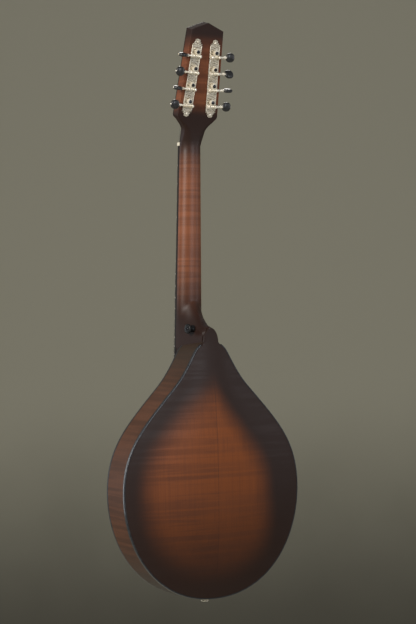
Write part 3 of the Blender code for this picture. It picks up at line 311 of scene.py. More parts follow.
def spruceTop():
    made = Finish("burstSpruce", "spruce", {"Coat Weight": 0.4, "Coat Roughness": 0.25, "Roughness": 0.42})
    spot = made.spot()
    rings = made.noise(made.stretched(spot, (900, 1, 3)), 1.0, 2.0)
    silk = made.noise(made.stretched(spot, (30, 30, 160)), 1.0, 3.0)
    wood = made.mixed(made.between(rings, 0.42, 0.66), (0.50, 0.235, 0.075), (0.30, 0.115, 0.032))
    wood = made.mixed(silk * 0.25, wood, (0.62, 0.33, 0.12))
    inward = made.between(made.marked("edgeDistance"), 4 * mm, 62 * mm)
    made.lead("Base Color", made.mixed(inward, (0.020, 0.009, 0.007), wood))
    made.raised(rings, 0.05 * mm, 0.4)
    return made


def plainWood(name, slot, light, dark, cycles, rough=0.62, shine=0.5):
    made = Finish(name, slot, {"Roughness": rough, "Specular IOR Level": shine})
    spot = made.spot()
    grain = woodGrain(made, spot, cycles)
    pores = made.noise(made.stretched(spot, (1500, 1500, 60)), 1.0, 2.0)
    wood = made.mixed(made.between(grain, 0.3, 0.72), light, dark)
    made.lead("Base Color", made.mixed(made.between(pores, 0.6, 0.72, 0.0, 0.5), wood, dark))
    made.raised(grain * 0.6 - pores * 0.4, 0.06 * mm, 0.4)
    return made


def plainMetal(name, slot, colour, tarnish, rough, speckle=90.0, metallic=1.0):
    made = Finish(name, slot, {"Metallic": metallic})
    spot = made.spot()
    cloud = made.noise(spot, speckle, 4.0)
    scratch = made.noise(made.stretched(spot, (2600, 900, 300)), 1.0, 3.0)
    worn = made.between(cloud, 0.42, 0.72)
    made.lead("Base Color", made.mixed(worn, colour, tarnish))
    made.lead("Roughness", made.between(cloud * 0.7 + scratch * 0.3, 0.3, 0.7, rough * 0.75, rough * 1.5))
    made.raised(scratch, 0.01 * mm, 0.3)
    return made


def engravedNickel():
    made = Finish("engravedNickel", "nickel", {"Metallic": 0.35})
    spot = made.spot()
    bent = made.noise(spot, 420.0, 2.0)
    swirl = made.node("ShaderNodeTexWave", {"wave_type": "RINGS", "rings_direction": "SPHERICAL"},
                      {"Vector": spot, "Scale": 105.0, "Distortion": 8.0, "Detail": 1.0,
                       "Detail Scale": 2.0}, 1)
    cut = made.between(swirl * 0.85 + bent * 0.15, 0.22, 0.42)
    tarnish = made.between(made.noise(spot, 150.0, 3.0), 0.4, 0.75, 0.0, 0.55)
    metal = made.mixed(tarnish, (0.68, 0.63, 0.53), (0.61, 0.52, 0.37))
    made.lead("Base Color", made.mixed(cut, (0.28, 0.235, 0.17), metal))
    made.lead("Roughness", made.between(cut, 0.0, 1.0, 0.52, 0.30))
    made.raised(cut, 0.12 * mm, 0.8)
    return made


def darkGloss(name, slot, colour, rough, coat=0.6, shine=0.5):
    made = Finish(name, slot,
                  {"Roughness": rough, "Coat Weight": coat, "Coat Roughness": 0.12,
                   "Specular IOR Level": shine})
    cloud = made.noise(made.spot(), 260.0, 3.0)
    lifted = tuple(c * 1.9 + 0.002 for c in colour)
    made.lead("Base Color", made.mixed(made.between(cloud, 0.35, 0.75), colour, lifted))
    made.lead("Roughness", made.between(cloud, 0.3, 0.7, rough * 0.8, rough * 1.3))
    made.raised(cloud, 0.02 * mm, 0.3)
    return made


def boneFinish():
    made = Finish("polishedBone", "bone", {"Roughness": 0.35, "Coat Weight": 0.2})
    cloud = made.noise(made.stretched(made.spot(), (400, 90, 400)), 1.0, 3.0)
    made.lead("Base Color", made.mixed(made.between(cloud, 0.3, 0.7), (0.82, 0.78, 0.66), (0.70, 0.62, 0.46)))
    return made


def pearlFinish():
    made = Finish("pearlInlay", "bone", {"Roughness": 0.2, "Coat Weight": 0.6})
    cloud = made.noise(made.spot(), 700.0, 3.0, 0.6, 1.4)
    made.lead("Base Color", made.mixed(made.between(cloud, 0.35, 0.65), (0.78, 0.80, 0.76),
                                       (0.55, 0.62, 0.66)))
    return made


def woundWire():
    made = Finish("bronzeWinding", "bronze_wire", {"Metallic": 1.0, "Roughness": 0.34})
    spot = made.spot()
    turns = made.node("ShaderNodeTexWave", {"bands_direction": "Z"}, {"Vector": spot, "Scale": 520.0}, 1)
    # the darker bronze bands are painted shade in the grooves between the wraps
    made.lead("Base Color", made.mixed(turns, (0.34, 0.19, 0.08), (0.74, 0.47, 0.24)))
    made.raised(turns, 0.08 * mm, 0.9)
    return made


finishes = {
    "back": backMaple(),
    "rib": ribMaple(),
    "neck": neckMaple(),
    "top": spruceTop(),
    "bareSpruce": plainWood("bareSpruce", "raw_spruce", (0.64, 0.49, 0.30), (0.50, 0.34, 0.17),
                            (420, 420, 6)),
    "mahogany": plainWood("bareMahogany", "mahogany", (0.32, 0.14, 0.07), (0.20, 0.08, 0.04), (240, 240, 10)),
    "ebony": plainWood("oiledEbony", "ebony", (0.024, 0.020, 0.018), (0.008, 0.007, 0.007), (380, 380, 14),
                       0.6, 0.22),
    "binding": darkGloss("blackBinding", "black_binding", (0.012, 0.013, 0.016), 0.34, 0.5),
    "button": darkGloss("blackButton", "black_button", (0.008, 0.008, 0.009), 0.4, 0.25),
    "strapBlack": darkGloss("strapBlack", "black_button", (0.006, 0.006, 0.0065), 0.36, 0.0, 0.25),
    "nickel": plainMetal("agedNickel", "nickel", (0.95, 0.90, 0.79), (0.84, 0.74, 0.56), 0.26, 90.0, 0.4),
    "satin": plainMetal("satinNickel", "nickel", (0.64, 0.59, 0.49), (0.52, 0.44, 0.32), 0.4, 90.0, 0.4),
    "engraved": engravedNickel(),
    "steel": plainMetal("polishedSteel", "steel", (0.62, 0.61, 0.59), (0.42, 0.40, 0.37), 0.24),
    # the screw heads are polished metal; their near-black colour is a painted reflection of a dark part of
    # the room
    "screw": plainMetal("screwDarkReflection", "steel", (0.055, 0.058, 0.066), (0.03, 0.03, 0.035), 0.2),
    "brass": plainMetal("polishedBrass", "brass", (0.80, 0.58, 0.26), (0.55, 0.36, 0.15), 0.26),
    "bone": boneFinish(),
    "pearl": pearlFinish(),
    "wound": woundWire(),
}
print("finishes made")


def creased(obj, angle=35):
    shape = bmesh.new()
    shape.from_mesh(obj.data)
    bmesh.ops.recalc_face_normals(shape, faces=shape.faces)
    limit = math.radians(angle)
    for face in shape.faces:
        face.smooth = True
    for edge in shape.edges:
        edge.smooth = len(edge.link_faces) == 2 and edge.calc_face_angle(0.0) < limit
    shape.to_mesh(obj.data)
    shape.free()
    return obj


def meshPiece(name, points, faces, angle=35):
    mesh = bpy.data.meshes.new(name)
    mesh.from_pydata([tuple(p) for p in points], [], faces)
    obj = bpy.data.objects.new(name, mesh)
    bpy.context.scene.collection.objects.link(obj)
    return creased(obj, angle)


def fitted(obj, finish, carrier="mandolin", stands=()):
    obj.data.materials.clear()
    obj.data.materials.append(finishes[finish].material)
    if carrier:
        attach(obj, carrier)
    if stands:
        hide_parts(*stands)
    return obj


def lofted(name, rings, closed=True, capped=True, angle=35):
    count = len(rings[0])
    points = [p for ring in rings for p in ring]
    faces = []
    for r in range(len(rings) - 1):
        for k in range(count if closed else count - 1):
            a, b = r * count + k, r * count + (k + 1) % count
            faces.append((a, b, b + count, a + count))
    if capped:
        faces.append(tuple(range(count))[::-1])
        faces.append(tuple(range((len(rings) - 1) * count, len(rings) * count)))
    return meshPiece(name, points, faces, angle)


def lathed(name, profile, place, steps=40, angle=35):
    points, faces, rows = [], [], []
    for radius, height in profile:
        count = 1 if radius < 1e-7 else steps
        rows.append(list(range(len(points), len(points) + count)))
        for k in range(count):
            turn = math.tau * k / steps
            points.append(place @ Vector((radius * math.cos(turn), radius * math.sin(turn), height)))
    for low, high in zip(rows, rows[1:]):
        for k in range(steps):
            j = k + 1
            face = []
            for index in (low[k % len(low)], low[j % len(low)], high[j % len(high)], high[k % len(high)]):
                if index not in face:
                    face.append(index)
            faces.append(tuple(face))
    return meshPiece(name, points, faces, angle)


def tubed(name, path, radius, sides=10):
    path = [Vector(p) for p in path]
    rings = []
    lastSide = None
    for k, point in enumerate(path):
        ahead = path[min(k + 1, len(path) - 1)] - path[max(k - 1, 0)]
        ahead.normalize()
        if lastSide is None:
            lastSide = ahead.orthogonal().normalized()
        sideways = (lastSide - ahead * lastSide.dot(ahead)).normalized()
        lastSide = sideways
        upward = ahead.cross(sideways)
        r = radius[k] if isinstance(radius, list) else radius
        rings.append([point + (sideways * math.cos(t) + upward * math.sin(t)) * r
                      for t in (math.tau * j / sides for j in range(sides))])
    return lofted(name, rings)


def plateFrom(name, outline, thickness, place, bevel=0.0):
    # outline in x and z, thickness along y away from 0
    count = len(outline)
    points, faces = [], []
    levels = [(0.0, 0.0)]
    if bevel:
        levels = [(0.0, 0.0), (thickness - bevel, 0.0), (thickness, bevel)]
    else:
        levels.append((thickness, 0.0))
    loop = [Vector((x, z)) for x, z in outline]
    for y, inward in levels:
        for k in range(count):
            before, here, after = loop[k - 1], loop[k], loop[(k + 1) % count]
            along = (after - before).normalized()
            normal = Vector((along.y, -along.x))
            spot = here - normal * inward
            points.append(place @ Vector((spot.x, y, spot.y)))
    for r in range(len(levels) - 1):
        for k in range(count):
            a, b = r * count + k, r * count + (k + 1) % count
            faces.append((a, b, b + count, a + count))
    faces.append(tuple(range(count))[::-1])
    faces.append(tuple(range((len(levels) - 1) * count, len(levels) * count)))
    return meshPiece(name, points, faces, 30)


def carved(obj, cutter):
    step = obj.modifiers.new("cut", "BOOLEAN")
    step.operation = "DIFFERENCE"
    step.solver = "EXACT"
    step.object = cutter
    bpy.context.view_layer.update()
    result = bpy.data.meshes.new_from_object(obj.evaluated_get(bpy.context.evaluated_depsgraph_get()))
    obj.modifiers.clear()
    obj.data = result
    bpy.data.objects.remove(cutter)
    return creased(obj, 30)


def bezier(p0, p1, p2, p3, count):
    found = []
    for k in range(count):
        t = k / count
        a, b, c, d = (1 - t) ** 3, 3 * (1 - t) ** 2 * t, 3 * (1 - t) * t * t, t ** 3
        found.append([a * p0[i] + b * p1[i] + c * p2[i] + d * p3[i] for i in (0, 1)])
    return found


def halfOutline():
    half, low, high = body["half"], 157.1 * mm, body["length"]
    rise = high - low
    flank = (0.549 * half, low + 0.6 * rise)
    shoulder = (0.19 * half, low + 0.917 * rise)
    points = bezier((0, 0), (0.645 * half, 0), (half, 0.486 * low), (half, low), 40)
    points += bezier((half, low), (half, low + 0.276 * rise), (0.807 * half, low + 0.415 * rise), flank, 26)
    points += bezier(flank, (0.383 * half, low + 0.718 * rise), (0.349 * half, low + 0.727 * rise), shoulder,
                     18)
    points += bezier(shoulder, (0.155 * half, low + 0.96 * rise), (0.069 * half, high), (0, high), 16)
    points.append([0, high])
    return np.array(points) + (0, body["tail"])


halfEdge = halfOutline()
halfNormals = np.zeros_like(halfEdge)
run = halfEdge[2:] - halfEdge[:-2]
run /= np.linalg.norm(run, axis=1)[:, None]
halfNormals[1:-1] = np.column_stack((run[:, 1], -run[:, 0]))
halfNormals[0], halfNormals[-1] = (0, -1), (0, 1)


def insetEdge(distance):
    return halfEdge - halfNormals * distance


def swellAt(x, z, edge, low, high):
    width = np.maximum(np.interp(z, edge[:, 1], edge[:, 0]), 1e-6)
    across = np.minimum(1, np.abs(x) / width)
    middle = body["widest"]
    reach = np.where(z < middle, middle - low, high - middle)
    along = np.minimum(1, np.abs(z - middle) / reach)
    return (1 - across ** 2.4) ** 1.25 * (1 - along ** 2.4) ** 1.25


plateEdge = insetEdge(body["binding"] + body["seam"])
glueEdge = insetEdge(9 * mm)


def topSurface(x, z):
    return body["rimFront"] - body["topArch"] * float(swellAt(x, z, plateEdge, body["tail"], body["end"]))


def archedPlate(name, half, rim, outward, arch):
    # rings shrink from the edge to the middle; the outer and inner faces share them
    loop = np.vstack((half, half[::-1] * (-1, 1)))
    keep = np.ones(len(loop), bool)
    keep[1:] = np.linalg.norm(np.diff(loop, axis=0), axis=1) > 1e-6
    loop = loop[keep]
    if np.linalg.norm(loop[0] - loop[-1]) < 1e-6:
        loop = loop[:-1]
    count = len(loop)
    middle = np.array((0, body["widest"]))
    shares = [1.0 - 0.5 * (1 - math.cos(math.pi * k / 26)) for k in range(26)]
    points, faces, marks = [], [], []
    for inner in (False, True):
        for share in shares:
            spots = middle + (loop - middle) * share
            x, z = spots[:, 0], spots[:, 1]
            if inner:
                low, high = body["tail"] + 34 * mm, body["end"] - 60 * mm
                hollow = (arch - 1.5 * mm) * swellAt(x, z, glueEdge, low, high)
                y = rim - outward * (body["edge"] - hollow)
            else:
                y = rim + outward * arch * swellAt(x, z, plateEdge, body["tail"], body["end"])
            points += list(zip(x, y, z))
        y = rim + outward * (arch if not inner else arch - 1.5 * mm - body["edge"])
        points.append((0.0, y, middle[1]))
    each = len(shares) * count + 1
    for base in (0, each):
        for r in range(len(shares) - 1):
            for k in range(count):
                a, b = base + r * count + k, base + r * count + (k + 1) % count
                faces.append((a, b, b + count, a + count))
        last = base + (len(shares) - 1) * count
        for k in range(count):
            faces.append((last + k, last + (k + 1) % count, base + each - 1))
    for k in range(count):
        j = (k + 1) % count
        faces.append((k, j, each + j, each + k))
    obj = meshPiece(name, points, faces, 40)
    flat = np.array([(v.co.x, v.co.z) for v in obj.data.vertices])
    gaps = np.linalg.norm(flat[:, None, :] - loop[None, :, :], axis=2).min(1)
    mark = obj.data.attributes.new("edgeDistance", "FLOAT", "POINT")
    mark.data.foreach_set("value", gaps.astype(np.float32))
    return obj


tongue = {"half": 11.7 * mm, "length": 20.5 * mm, "steps": 14}


def backHalfEdge():
    base = float(np.interp(-tongue["half"], -halfEdge[-20:, 0], halfEdge[-20:, 1]))
    rows = [p for p in plateEdge if not (p[0] < tongue["half"] + 2 * mm and p[1] > body["widest"])]
    for k in range(tongue["steps"] + 1):
        up = math.sin(math.pi / 2 * k / tongue["steps"])
        rows.append((tongue["half"] * (1 - up ** 2) ** 0.6, base + tongue["length"] * up))
    return np.array(rows)


fitted(archedPlate("carvedBack", backHalfEdge(), body["rimBack"], 1, body["backArch"]), "back",
       stands=["back_plate"])
print("back carved")

fholes = {"gap": 128 * mm, "length": 108 * mm, "width": 8.5 * mm, "eye": 6.2 * mm}


def fholeCutters(side):
    made = []
    rail = []
    steps = 26
    for k in range(steps + 1):
        t = 2 * k / steps - 1
        lean = -side * 9 * mm * t - side * 6 * mm * math.sin(math.pi * t)
        half = fholes["width"] / 2 * (1 - 0.35 * t * t)
        rail.append((side * fholes["gap"] / 2 + lean, bridgeZ + t * (fholes["length"] / 2 - fholes["eye"]),
                     half))
    loop = [(x + h, z) for x, z, h in rail] + [(x - h, z) for x, z, h in rail[::-1]]
    rings = [[Vector((x, y, z)) for x, z in loop] for y in (-40 * mm, 12 * mm)]
    made.append(lofted("fholeSlot", rings))
    for n, (x, z, half) in enumerate((rail[0], rail[-1])):
        eyeX = x + (side if n == 0 else -side) * (fholes["eye"] - half)
        place = Matrix.Translation((eyeX, 0, z)) @ Matrix.Rotation(math.pi / 2, 4, "X")
        profile = [(0, -12 * mm), (fholes["eye"], -12 * mm), (fholes["eye"], 40 * mm), (0, 40 * mm)]
        made.append(lathed("fholeEye", profile, place, 36))
    return made


def spruceBelly():
    belly = archedPlate("carvedTop", plateEdge, body["rimFront"], -1, body["topArch"])
    for side in (1, -1):
        for cutter in fholeCutters(side):
            carved(belly, cutter)
    fitted(belly, "top", stands=["top_plate"])


spruceBelly()
print("top carved")


def sideStations(stop):
    upper = halfEdge[:, 1] > body["widest"]
    keep = ~(upper & (halfEdge[:, 0] < stop))
    return list(zip(halfEdge[keep], halfNormals[keep]))[::-1]


def bentStrip(name, stations, ring, finish, stands, bothSides):
    rings = []
    path = [(p[0], p[1], n[0], n[1]) for p, n in stations]
    if bothSides:
        path += [(-x, z, -nx, nz) for x, z, nx, nz in path[-2::-1]]
    for x, z, nx, nz in path:
        rings.append([(x - nx * d, y, z - nz * d) for d, y in ring])
    return fitted(lofted(name, rings), finish, stands=stands)


def rimParts():
    low, high = body["rimFront"] + body["edge"] + body["seam"], body["rimBack"] - body["edge"] - body["seam"]
    levels = np.linspace(low, high, 7)
    ring = [(0, y) for y in levels] + [(body["rib"], y) for y in levels[::-1]]
    for side, word in ((1, "Treble"), (-1, "Bass")):
        stations = sideStations(8.7 * mm)
        stations[-1] = (np.array((body["seam"] / 2, stations[-1][0][1])), stations[-1][1])
        if side < 0:
            stations = [(p * (-1, 1), n * (-1, 1)) for p, n in stations]
        bentStrip("side" + word, stations, ring, "rib", ["rib_" + word.lower()], False)
    cornerRound = 0.75 * mm
    for word, y, inward, stop in (("Back", body["rimBack"], -1, 16.7 * mm),
                                  ("Top", body["rimFront"], 1, 0.3 * mm)):
        deep, wide = body["edge"], body["binding"]
        ring = [(wide, y), (cornerRound, y)]
        ring += [(cornerRound * (1 - math.sin(t)), y + inward * cornerRound * (1 - math.cos(t)))
                 for t in (math.pi / 8, math.pi / 4, 3 * math.pi / 8)]
        ring += [(0, y + inward * cornerRound), (0, y + inward * deep), (wide, y + inward * deep)]
        bentStrip("binding" + word, sideStations(stop), ring, "binding", [word.lower() + "_binding"], True)


rimParts()
print("sides and bindings bent")

# heel: how far it reaches up the neck at each depth, measured from the body's end
heelDepths = [-7.83, -3.33, 4.07, 9.67, 19.67, 31.67, 47.47]
heelReaches = [78.0, 72.0, 56.0, 45.5, 34.0, 24.0, 18.6]


def eased(value, places, levels):
    # smooth curve through a table, with slopes from its neighbours
    k = int(np.clip(np.searchsorted(places, value) - 1, 0, len(places) - 2))
    slopes = np.gradient(np.array(levels, float), np.array(places, float))
    width = places[k + 1] - places[k]
    t = min(1.0, max(0.0, (value - places[k]) / width))
    a, b = levels[k], levels[k + 1]
    return ((2 * t ** 3 - 3 * t ** 2 + 1) * a + (t ** 3 - 2 * t ** 2 + t) * width * slopes[k]
            + (3 * t ** 2 - 2 * t ** 3) * b + (t ** 3 - t ** 2) * width * slopes[k + 1])


def boardHalf(distance):
    return neckSizes["nutHalf"] + (neckSizes["jointHalf"]
                                   - neckSizes["nutHalf"]) * distance / neckSizes["joint"]


sectionSteps = {"side": 3, "corner": 12, "flat": 7}


def roundedSection(half, front, back, cornerX, cornerY):
    # from the front edge down one side and round to the middle of the back
    points = [(half, front + (back - cornerY - front) * k / sectionSteps["side"])
              for k in range(sectionSteps["side"])]
    for k in range(sectionSteps["corner"] + 1):
        t = math.pi / 2 * k / sectionSteps["corner"]
        points.append((half - cornerX * (1 - math.cos(t)), back - cornerY * (1 - math.sin(t))))
    for k in range(1, sectionSteps["flat"] + 1):
        points.append(((half - cornerX) * (1 - k / sectionSteps["flat"]), back))
    return points


def fullRing(points, place, z):
    ring = [place @ Vector((x, y, z)) for x, y in points]
    ring += [place @ Vector((-x, y, z)) for x, y in points[-2::-1]]
    return ring


def arcShares(points):
    steps = np.linalg.norm(np.diff(np.array(points), axis=0), axis=1)
    return np.concatenate(([0], np.cumsum(steps))) / steps.sum()


def shaftSection(distance):
    share = distance / neckSizes["joint"]
    depth = neckSizes["depthNut"] + (neckSizes["depthJoint"] - neckSizes["depthNut"]) * share
    half = boardHalf(distance)
    front = neckSizes["woodFront"]
    return roundedSection(half, front, depth, 0.985 * half, depth - front - 2 * mm)


def heelSection(z, shares):
    # union of the shaft's section and the heel's, eased together, in the body's frame
    distance = -z / math.cos(neckSizes["lean"])
    shaftRing = shaftSection(min(distance, neckSizes["joint"]))
    shaft = [neckPlace @ Vector((x, y, -distance)) for x, y in shaftRing]
    shaftY = np.array([p.y for p in shaft])
    shaftX = np.array([p.x for p in shaft])
    front, deepest = float(shaftY.min()), float(shaftY.max())
    base = body["end"]
    levels = np.array([d * mm for d in heelDepths])
    reaches = np.array([r * mm for r in heelReaches])
    reach = z - base
    fine = np.linspace(levels[0], levels[-1], 400)
    tips = np.array([eased(y, levels, reaches) for y in fine])
    inside = fine[tips > reach]
    heelBack = float(inside.max()) if len(inside) else deepest
    back = max(deepest, heelBack)
    dense = []
    for k in range(161):
        y = front + (back - front) * math.sin(math.pi / 2 * k / 160)
        shaftWide = float(np.interp(y, shaftY, shaftX)) if y <= deepest else 0.0
        heelWide = 0.0
        if len(inside) and y <= heelBack:
            tip = eased(max(y, levels[0]), levels, reaches)
            up = min(1.0, max(0.0, reach / tip))
            share = min(1.0, max(0.0, (y - levels[0]) / (levels[-1] - levels[0])))
            wide = neckSizes["jointHalf"] + (tongue["half"] - neckSizes["jointHalf"]) * share
            heelWide = wide * (1 - up ** 2) ** 0.6
        soft = 1.2 * mm
        top = max(shaftWide, heelWide)
        both = top + soft * 0.5 * max(0.0, 1 - abs(shaftWide - heelWide) / (2 * soft)) ** 2
        dense.append((both if k < 160 else 0.0, y))
    runShares = arcShares(dense)
    dense = np.array(dense)
    return [(float(np.interp(s, runShares, dense[:, 0])), float(np.interp(s, runShares, dense[:, 1])))
            for s in shares]


headHalfTable = [(5, 16.5), (14, 16.5), (20, 16.7), (26, 17.3), (30, 19.4), (34, 22.6), (38, 26.4),
                 (41.5, 29.4), (43.6, 31.2),
                 (45.4, 32.5), (47.2, 33.0), (171.8, 26.4), (182.2, 0.8)]


def headSection(z):
    places, halves = zip(*headHalfTable)
    half = float(np.interp(z, places, halves)) * mm
    plane, shaftBack = 16.0, 17.2 - 0.229 * z
    gap = shaftBack - plane
    back = plane + (gap if gap > 2 else (gap + 2) ** 2 / 8 if gap > -2 else 0.0)
    opening = min(1.0, max(0.0, (z - 9.0) / 33.0))
    cornerX = (1 - opening) * 0.985 * half + opening * 1.0 * mm
    flatness = opening ** 0.6
    cornerY = (1 - flatness) * (back - 4.0) * mm + flatness * 1.0 * mm
    return roundedSection(half, headSizes["front"], back * mm, min(cornerX, 0.985 * half), cornerY)


def neckWood():
    rings = []
    shares = arcShares(shaftSection(220 * mm))
    heights = [-12, -6, -2, 0.5, 4, 8, 12, 15, 17.2, 18.3]
    heights += list(np.arange(19.0, 30, 0.8)) + list(np.arange(30, 68, 2.0))
    for up in heights:
        rings.append(fullRing(heelSection(body["end"] + up * mm, shares), Matrix.Identity(4),
                              body["end"] + up * mm))
    for distance in (212, 200, 180, 150, 120, 90, 60, 40, 20, 8, 0):
        rings.append(fullRing(shaftSection(distance * mm), neckPlace, -distance * mm))
    for z in (6, 8, 10, 12, 14, 17, 20, 23, 26, 28, 30, 32, 34, 36, 38, 40, 41.5, 43.6, 45.4, 47.2, 60, 90,
              120, 150,
              171.8, 173.5, 176, 179, 181, 182.2):
        rings.append(fullRing(headSection(z), headPlace, z * mm))
    fitted(lofted("neckAndHead", rings, angle=28), "neck", stands=["neck"])


def boardWedge():
    rings = []
    lean = neckSizes["lean"]
    for z in (body["end"] + 14 * mm, body["end"] + 0.3 * mm, body["end"] - 30 * mm,
              -361 * mm * math.cos(lean)):
        half = boardHalf(-z) - 0.6 * mm
        front = neckSizes["boardFront"] + z * math.tan(lean)
        front += neckSizes["boardThickness"] / math.cos(lean) + 0.45 * mm
        back = body["rimFront"] - 0.3 * mm if z > body["end"] else topSurface(0, z) - 0.7 * mm
        rings.append([(-half, front, z), (half, front, z), (half, back, z), (-half, back, z)])
    fitted(lofted("boardWedge", rings), "neck")


neckWood()
boardWedge()
print("neck carved")

boardUser = {"frets": 21, "fretHigh": 1.0 * mm, "fretHalf": 1.1 * mm, "dots": (5, 7, 10, 12, 15, 17),
             "doubleDot": 12, "dotRadius": 2.6 * mm}


def fretAt(n):
    return neckSizes["scale"] * (1 - 2 ** (-n / 12))


def joined(name, pieces):
    points, faces = [], []
    for obj in pieces:
        start = len(points)
        points += [v.co.copy() for v in obj.data.vertices]
        faces += [tuple(start + i for i in p.vertices) for p in obj.data.polygons]
        bpy.data.objects.remove(obj)
    return meshPiece(name, points, faces)


def fingerboard():
    user = boardUser
    thick, chamfer = neckSizes["boardThickness"], 0.5 * mm
    rings = []
    for d in np.linspace(0, neckSizes["boardLength"], 24):
        h = boardHalf(d)
        section = [(-h, thick), (-h, chamfer), (-h + chamfer, 0), (h - chamfer, 0), (h, chamfer), (h, thick)]
        rings.append([neckPlace @ Vector((x, y, -d)) for x, y in section])
    fitted(lofted("fingerboard", rings), "ebony", stands=["fingerboard"])
    wires = []
    for n in range(1, user["frets"] + 1):
        h = boardHalf(fretAt(n)) - 0.25 * mm
        rings = []
        for x, scale in ((-h, 0.45), (-h + 0.5 * mm, 0.9), (-h + 1.1 * mm, 1.0), (h - 1.1 * mm, 1.0),
                         (h - 0.5 * mm, 0.9), (h, 0.45)):
            arc = [math.pi * k / 8 for k in range(9)]
            ring = [neckPlace @ Vector((x, -user["fretHigh"] * scale * math.sin(t),
                                        -fretAt(n) + user["fretHalf"] * math.cos(t))) for t in arc]
            ring += [neckPlace @ Vector((x, 0.6 * mm, -fretAt(n) + s * user["fretHalf"])) for s in (-1, 1)]
            rings.append(ring)
        wires.append(lofted("wire", rings))
    fitted(joined("fretWires", wires), "nickel")
    dots = []
    for n in user["dots"]:
        middle = (fretAt(n) + fretAt(n - 1)) / 2
        spots = (-8 * mm, 8 * mm) if n == user["doubleDot"] else (0,)
        for x in spots:
            place = neckPlace @ Matrix.Translation((x, 0, -middle)) @ Matrix.Rotation(math.pi / 2, 4, "X")
            r = user["dotRadius"]
            dots.append(lathed("dot", [(0, -0.5 * mm), (r, -0.5 * mm), (r, 0.04 * mm), (0, 0.04 * mm)],
                               place, 28))
        sideways = Matrix.Rotation(-math.pi / 2, 4, "Y")
        edge = neckPlace @ Matrix.Translation((-boardHalf(middle), 2.4 * mm, -middle)) @ sideways
        dots.append(lathed("dot",
                           [(0, -0.5 * mm), (0.9 * mm, -0.5 * mm), (0.9 * mm, 0.04 * mm), (0, 0.04 * mm)],
                           edge, 18))
    fitted(joined("pearlDots", dots), "pearl")


fingerboard()
print("fingerboard fretted")

tunerUser = {
    "plateHalf": 8.5 * mm, "plateThick": 1.0 * mm, "above": 8.8 * mm, "below": 13.0 * mm, "finial": 9.9 * mm,
    "shaftHeight": 5.1 * mm,       # worm axis from the head's back
    "drop": 6.25 * mm,             # worm axis below its post's
    "lugSpread": 5.2 * mm, "lugThick": 1.6 * mm, "lugRadius": 2.55 * mm, "shaftRadius": 1.45 * mm,
    "shaftWaist": 1.15 * mm,       # between the lugs, clear of the gear's teeth
    "teeth": 14, "gearRoot": 3.6 * mm, "gearTip": 4.86 * mm, "gearLow": 3.8 * mm, "gearHigh": 6.4 * mm,
    "wormRoot": 1.06 * mm, "wormTip": 2.2 * mm, "lead": 1.948 * mm, "wormTurns": 3,
    "buttonReach": 23.7 * mm, "buttonLong": 6.9 * mm, "buttonWide": 6.9 * mm, "buttonThick": 3.2 * mm,
    "turns": {"e1": 0, "e2": 90, "a1": 0, "a2": 90, "g1": 0, "g2": 90, "d1": 40, "d2": 0},
}


def scallopedEnd(half, reach):
    lobes = [(0.93, 0.0), (0.90, 0.05), (0.78, 0.08), (0.77, 0.12), (0.90, 0.155), (1.0, 0.20),
             (0.96, 0.245), (0.80, 0.275),
             (0.66, 0.30), (0.60, 0.35), (0.63, 0.40), (0.72, 0.435), (0.70, 0.48), (0.56, 0.52),
             (0.46, 0.57), (0.45, 0.64),
             (0.50, 0.71), (0.48, 0.79), (0.39, 0.87), (0.24, 0.95), (0.08, 0.995)]
    return [(half * x, reach * z) for x, z in lobes]


def scrollWork(place, size, mirror):
    # a pair of small leaf scrolls standing proud of the strip
    made = []
    for way in (1, -1):
        path = []
        for k in range(30):
            t = k / 29
            turn = 2.1 * math.pi * t
            r = size * (0.12 + 0.52 * (1 - t))
            x = way * (size * 0.62 - r * math.cos(turn))
            z = mirror * (r * math.sin(turn) + size * 0.25 * (1 - t))
            path.append(place @ Vector((x, 0, z)))
        made.append(tubed("scroll", path,
                          [size * (0.05 + 0.09 * math.sin(math.pi * k / 29)) for k in range(30)], 8))
    return made


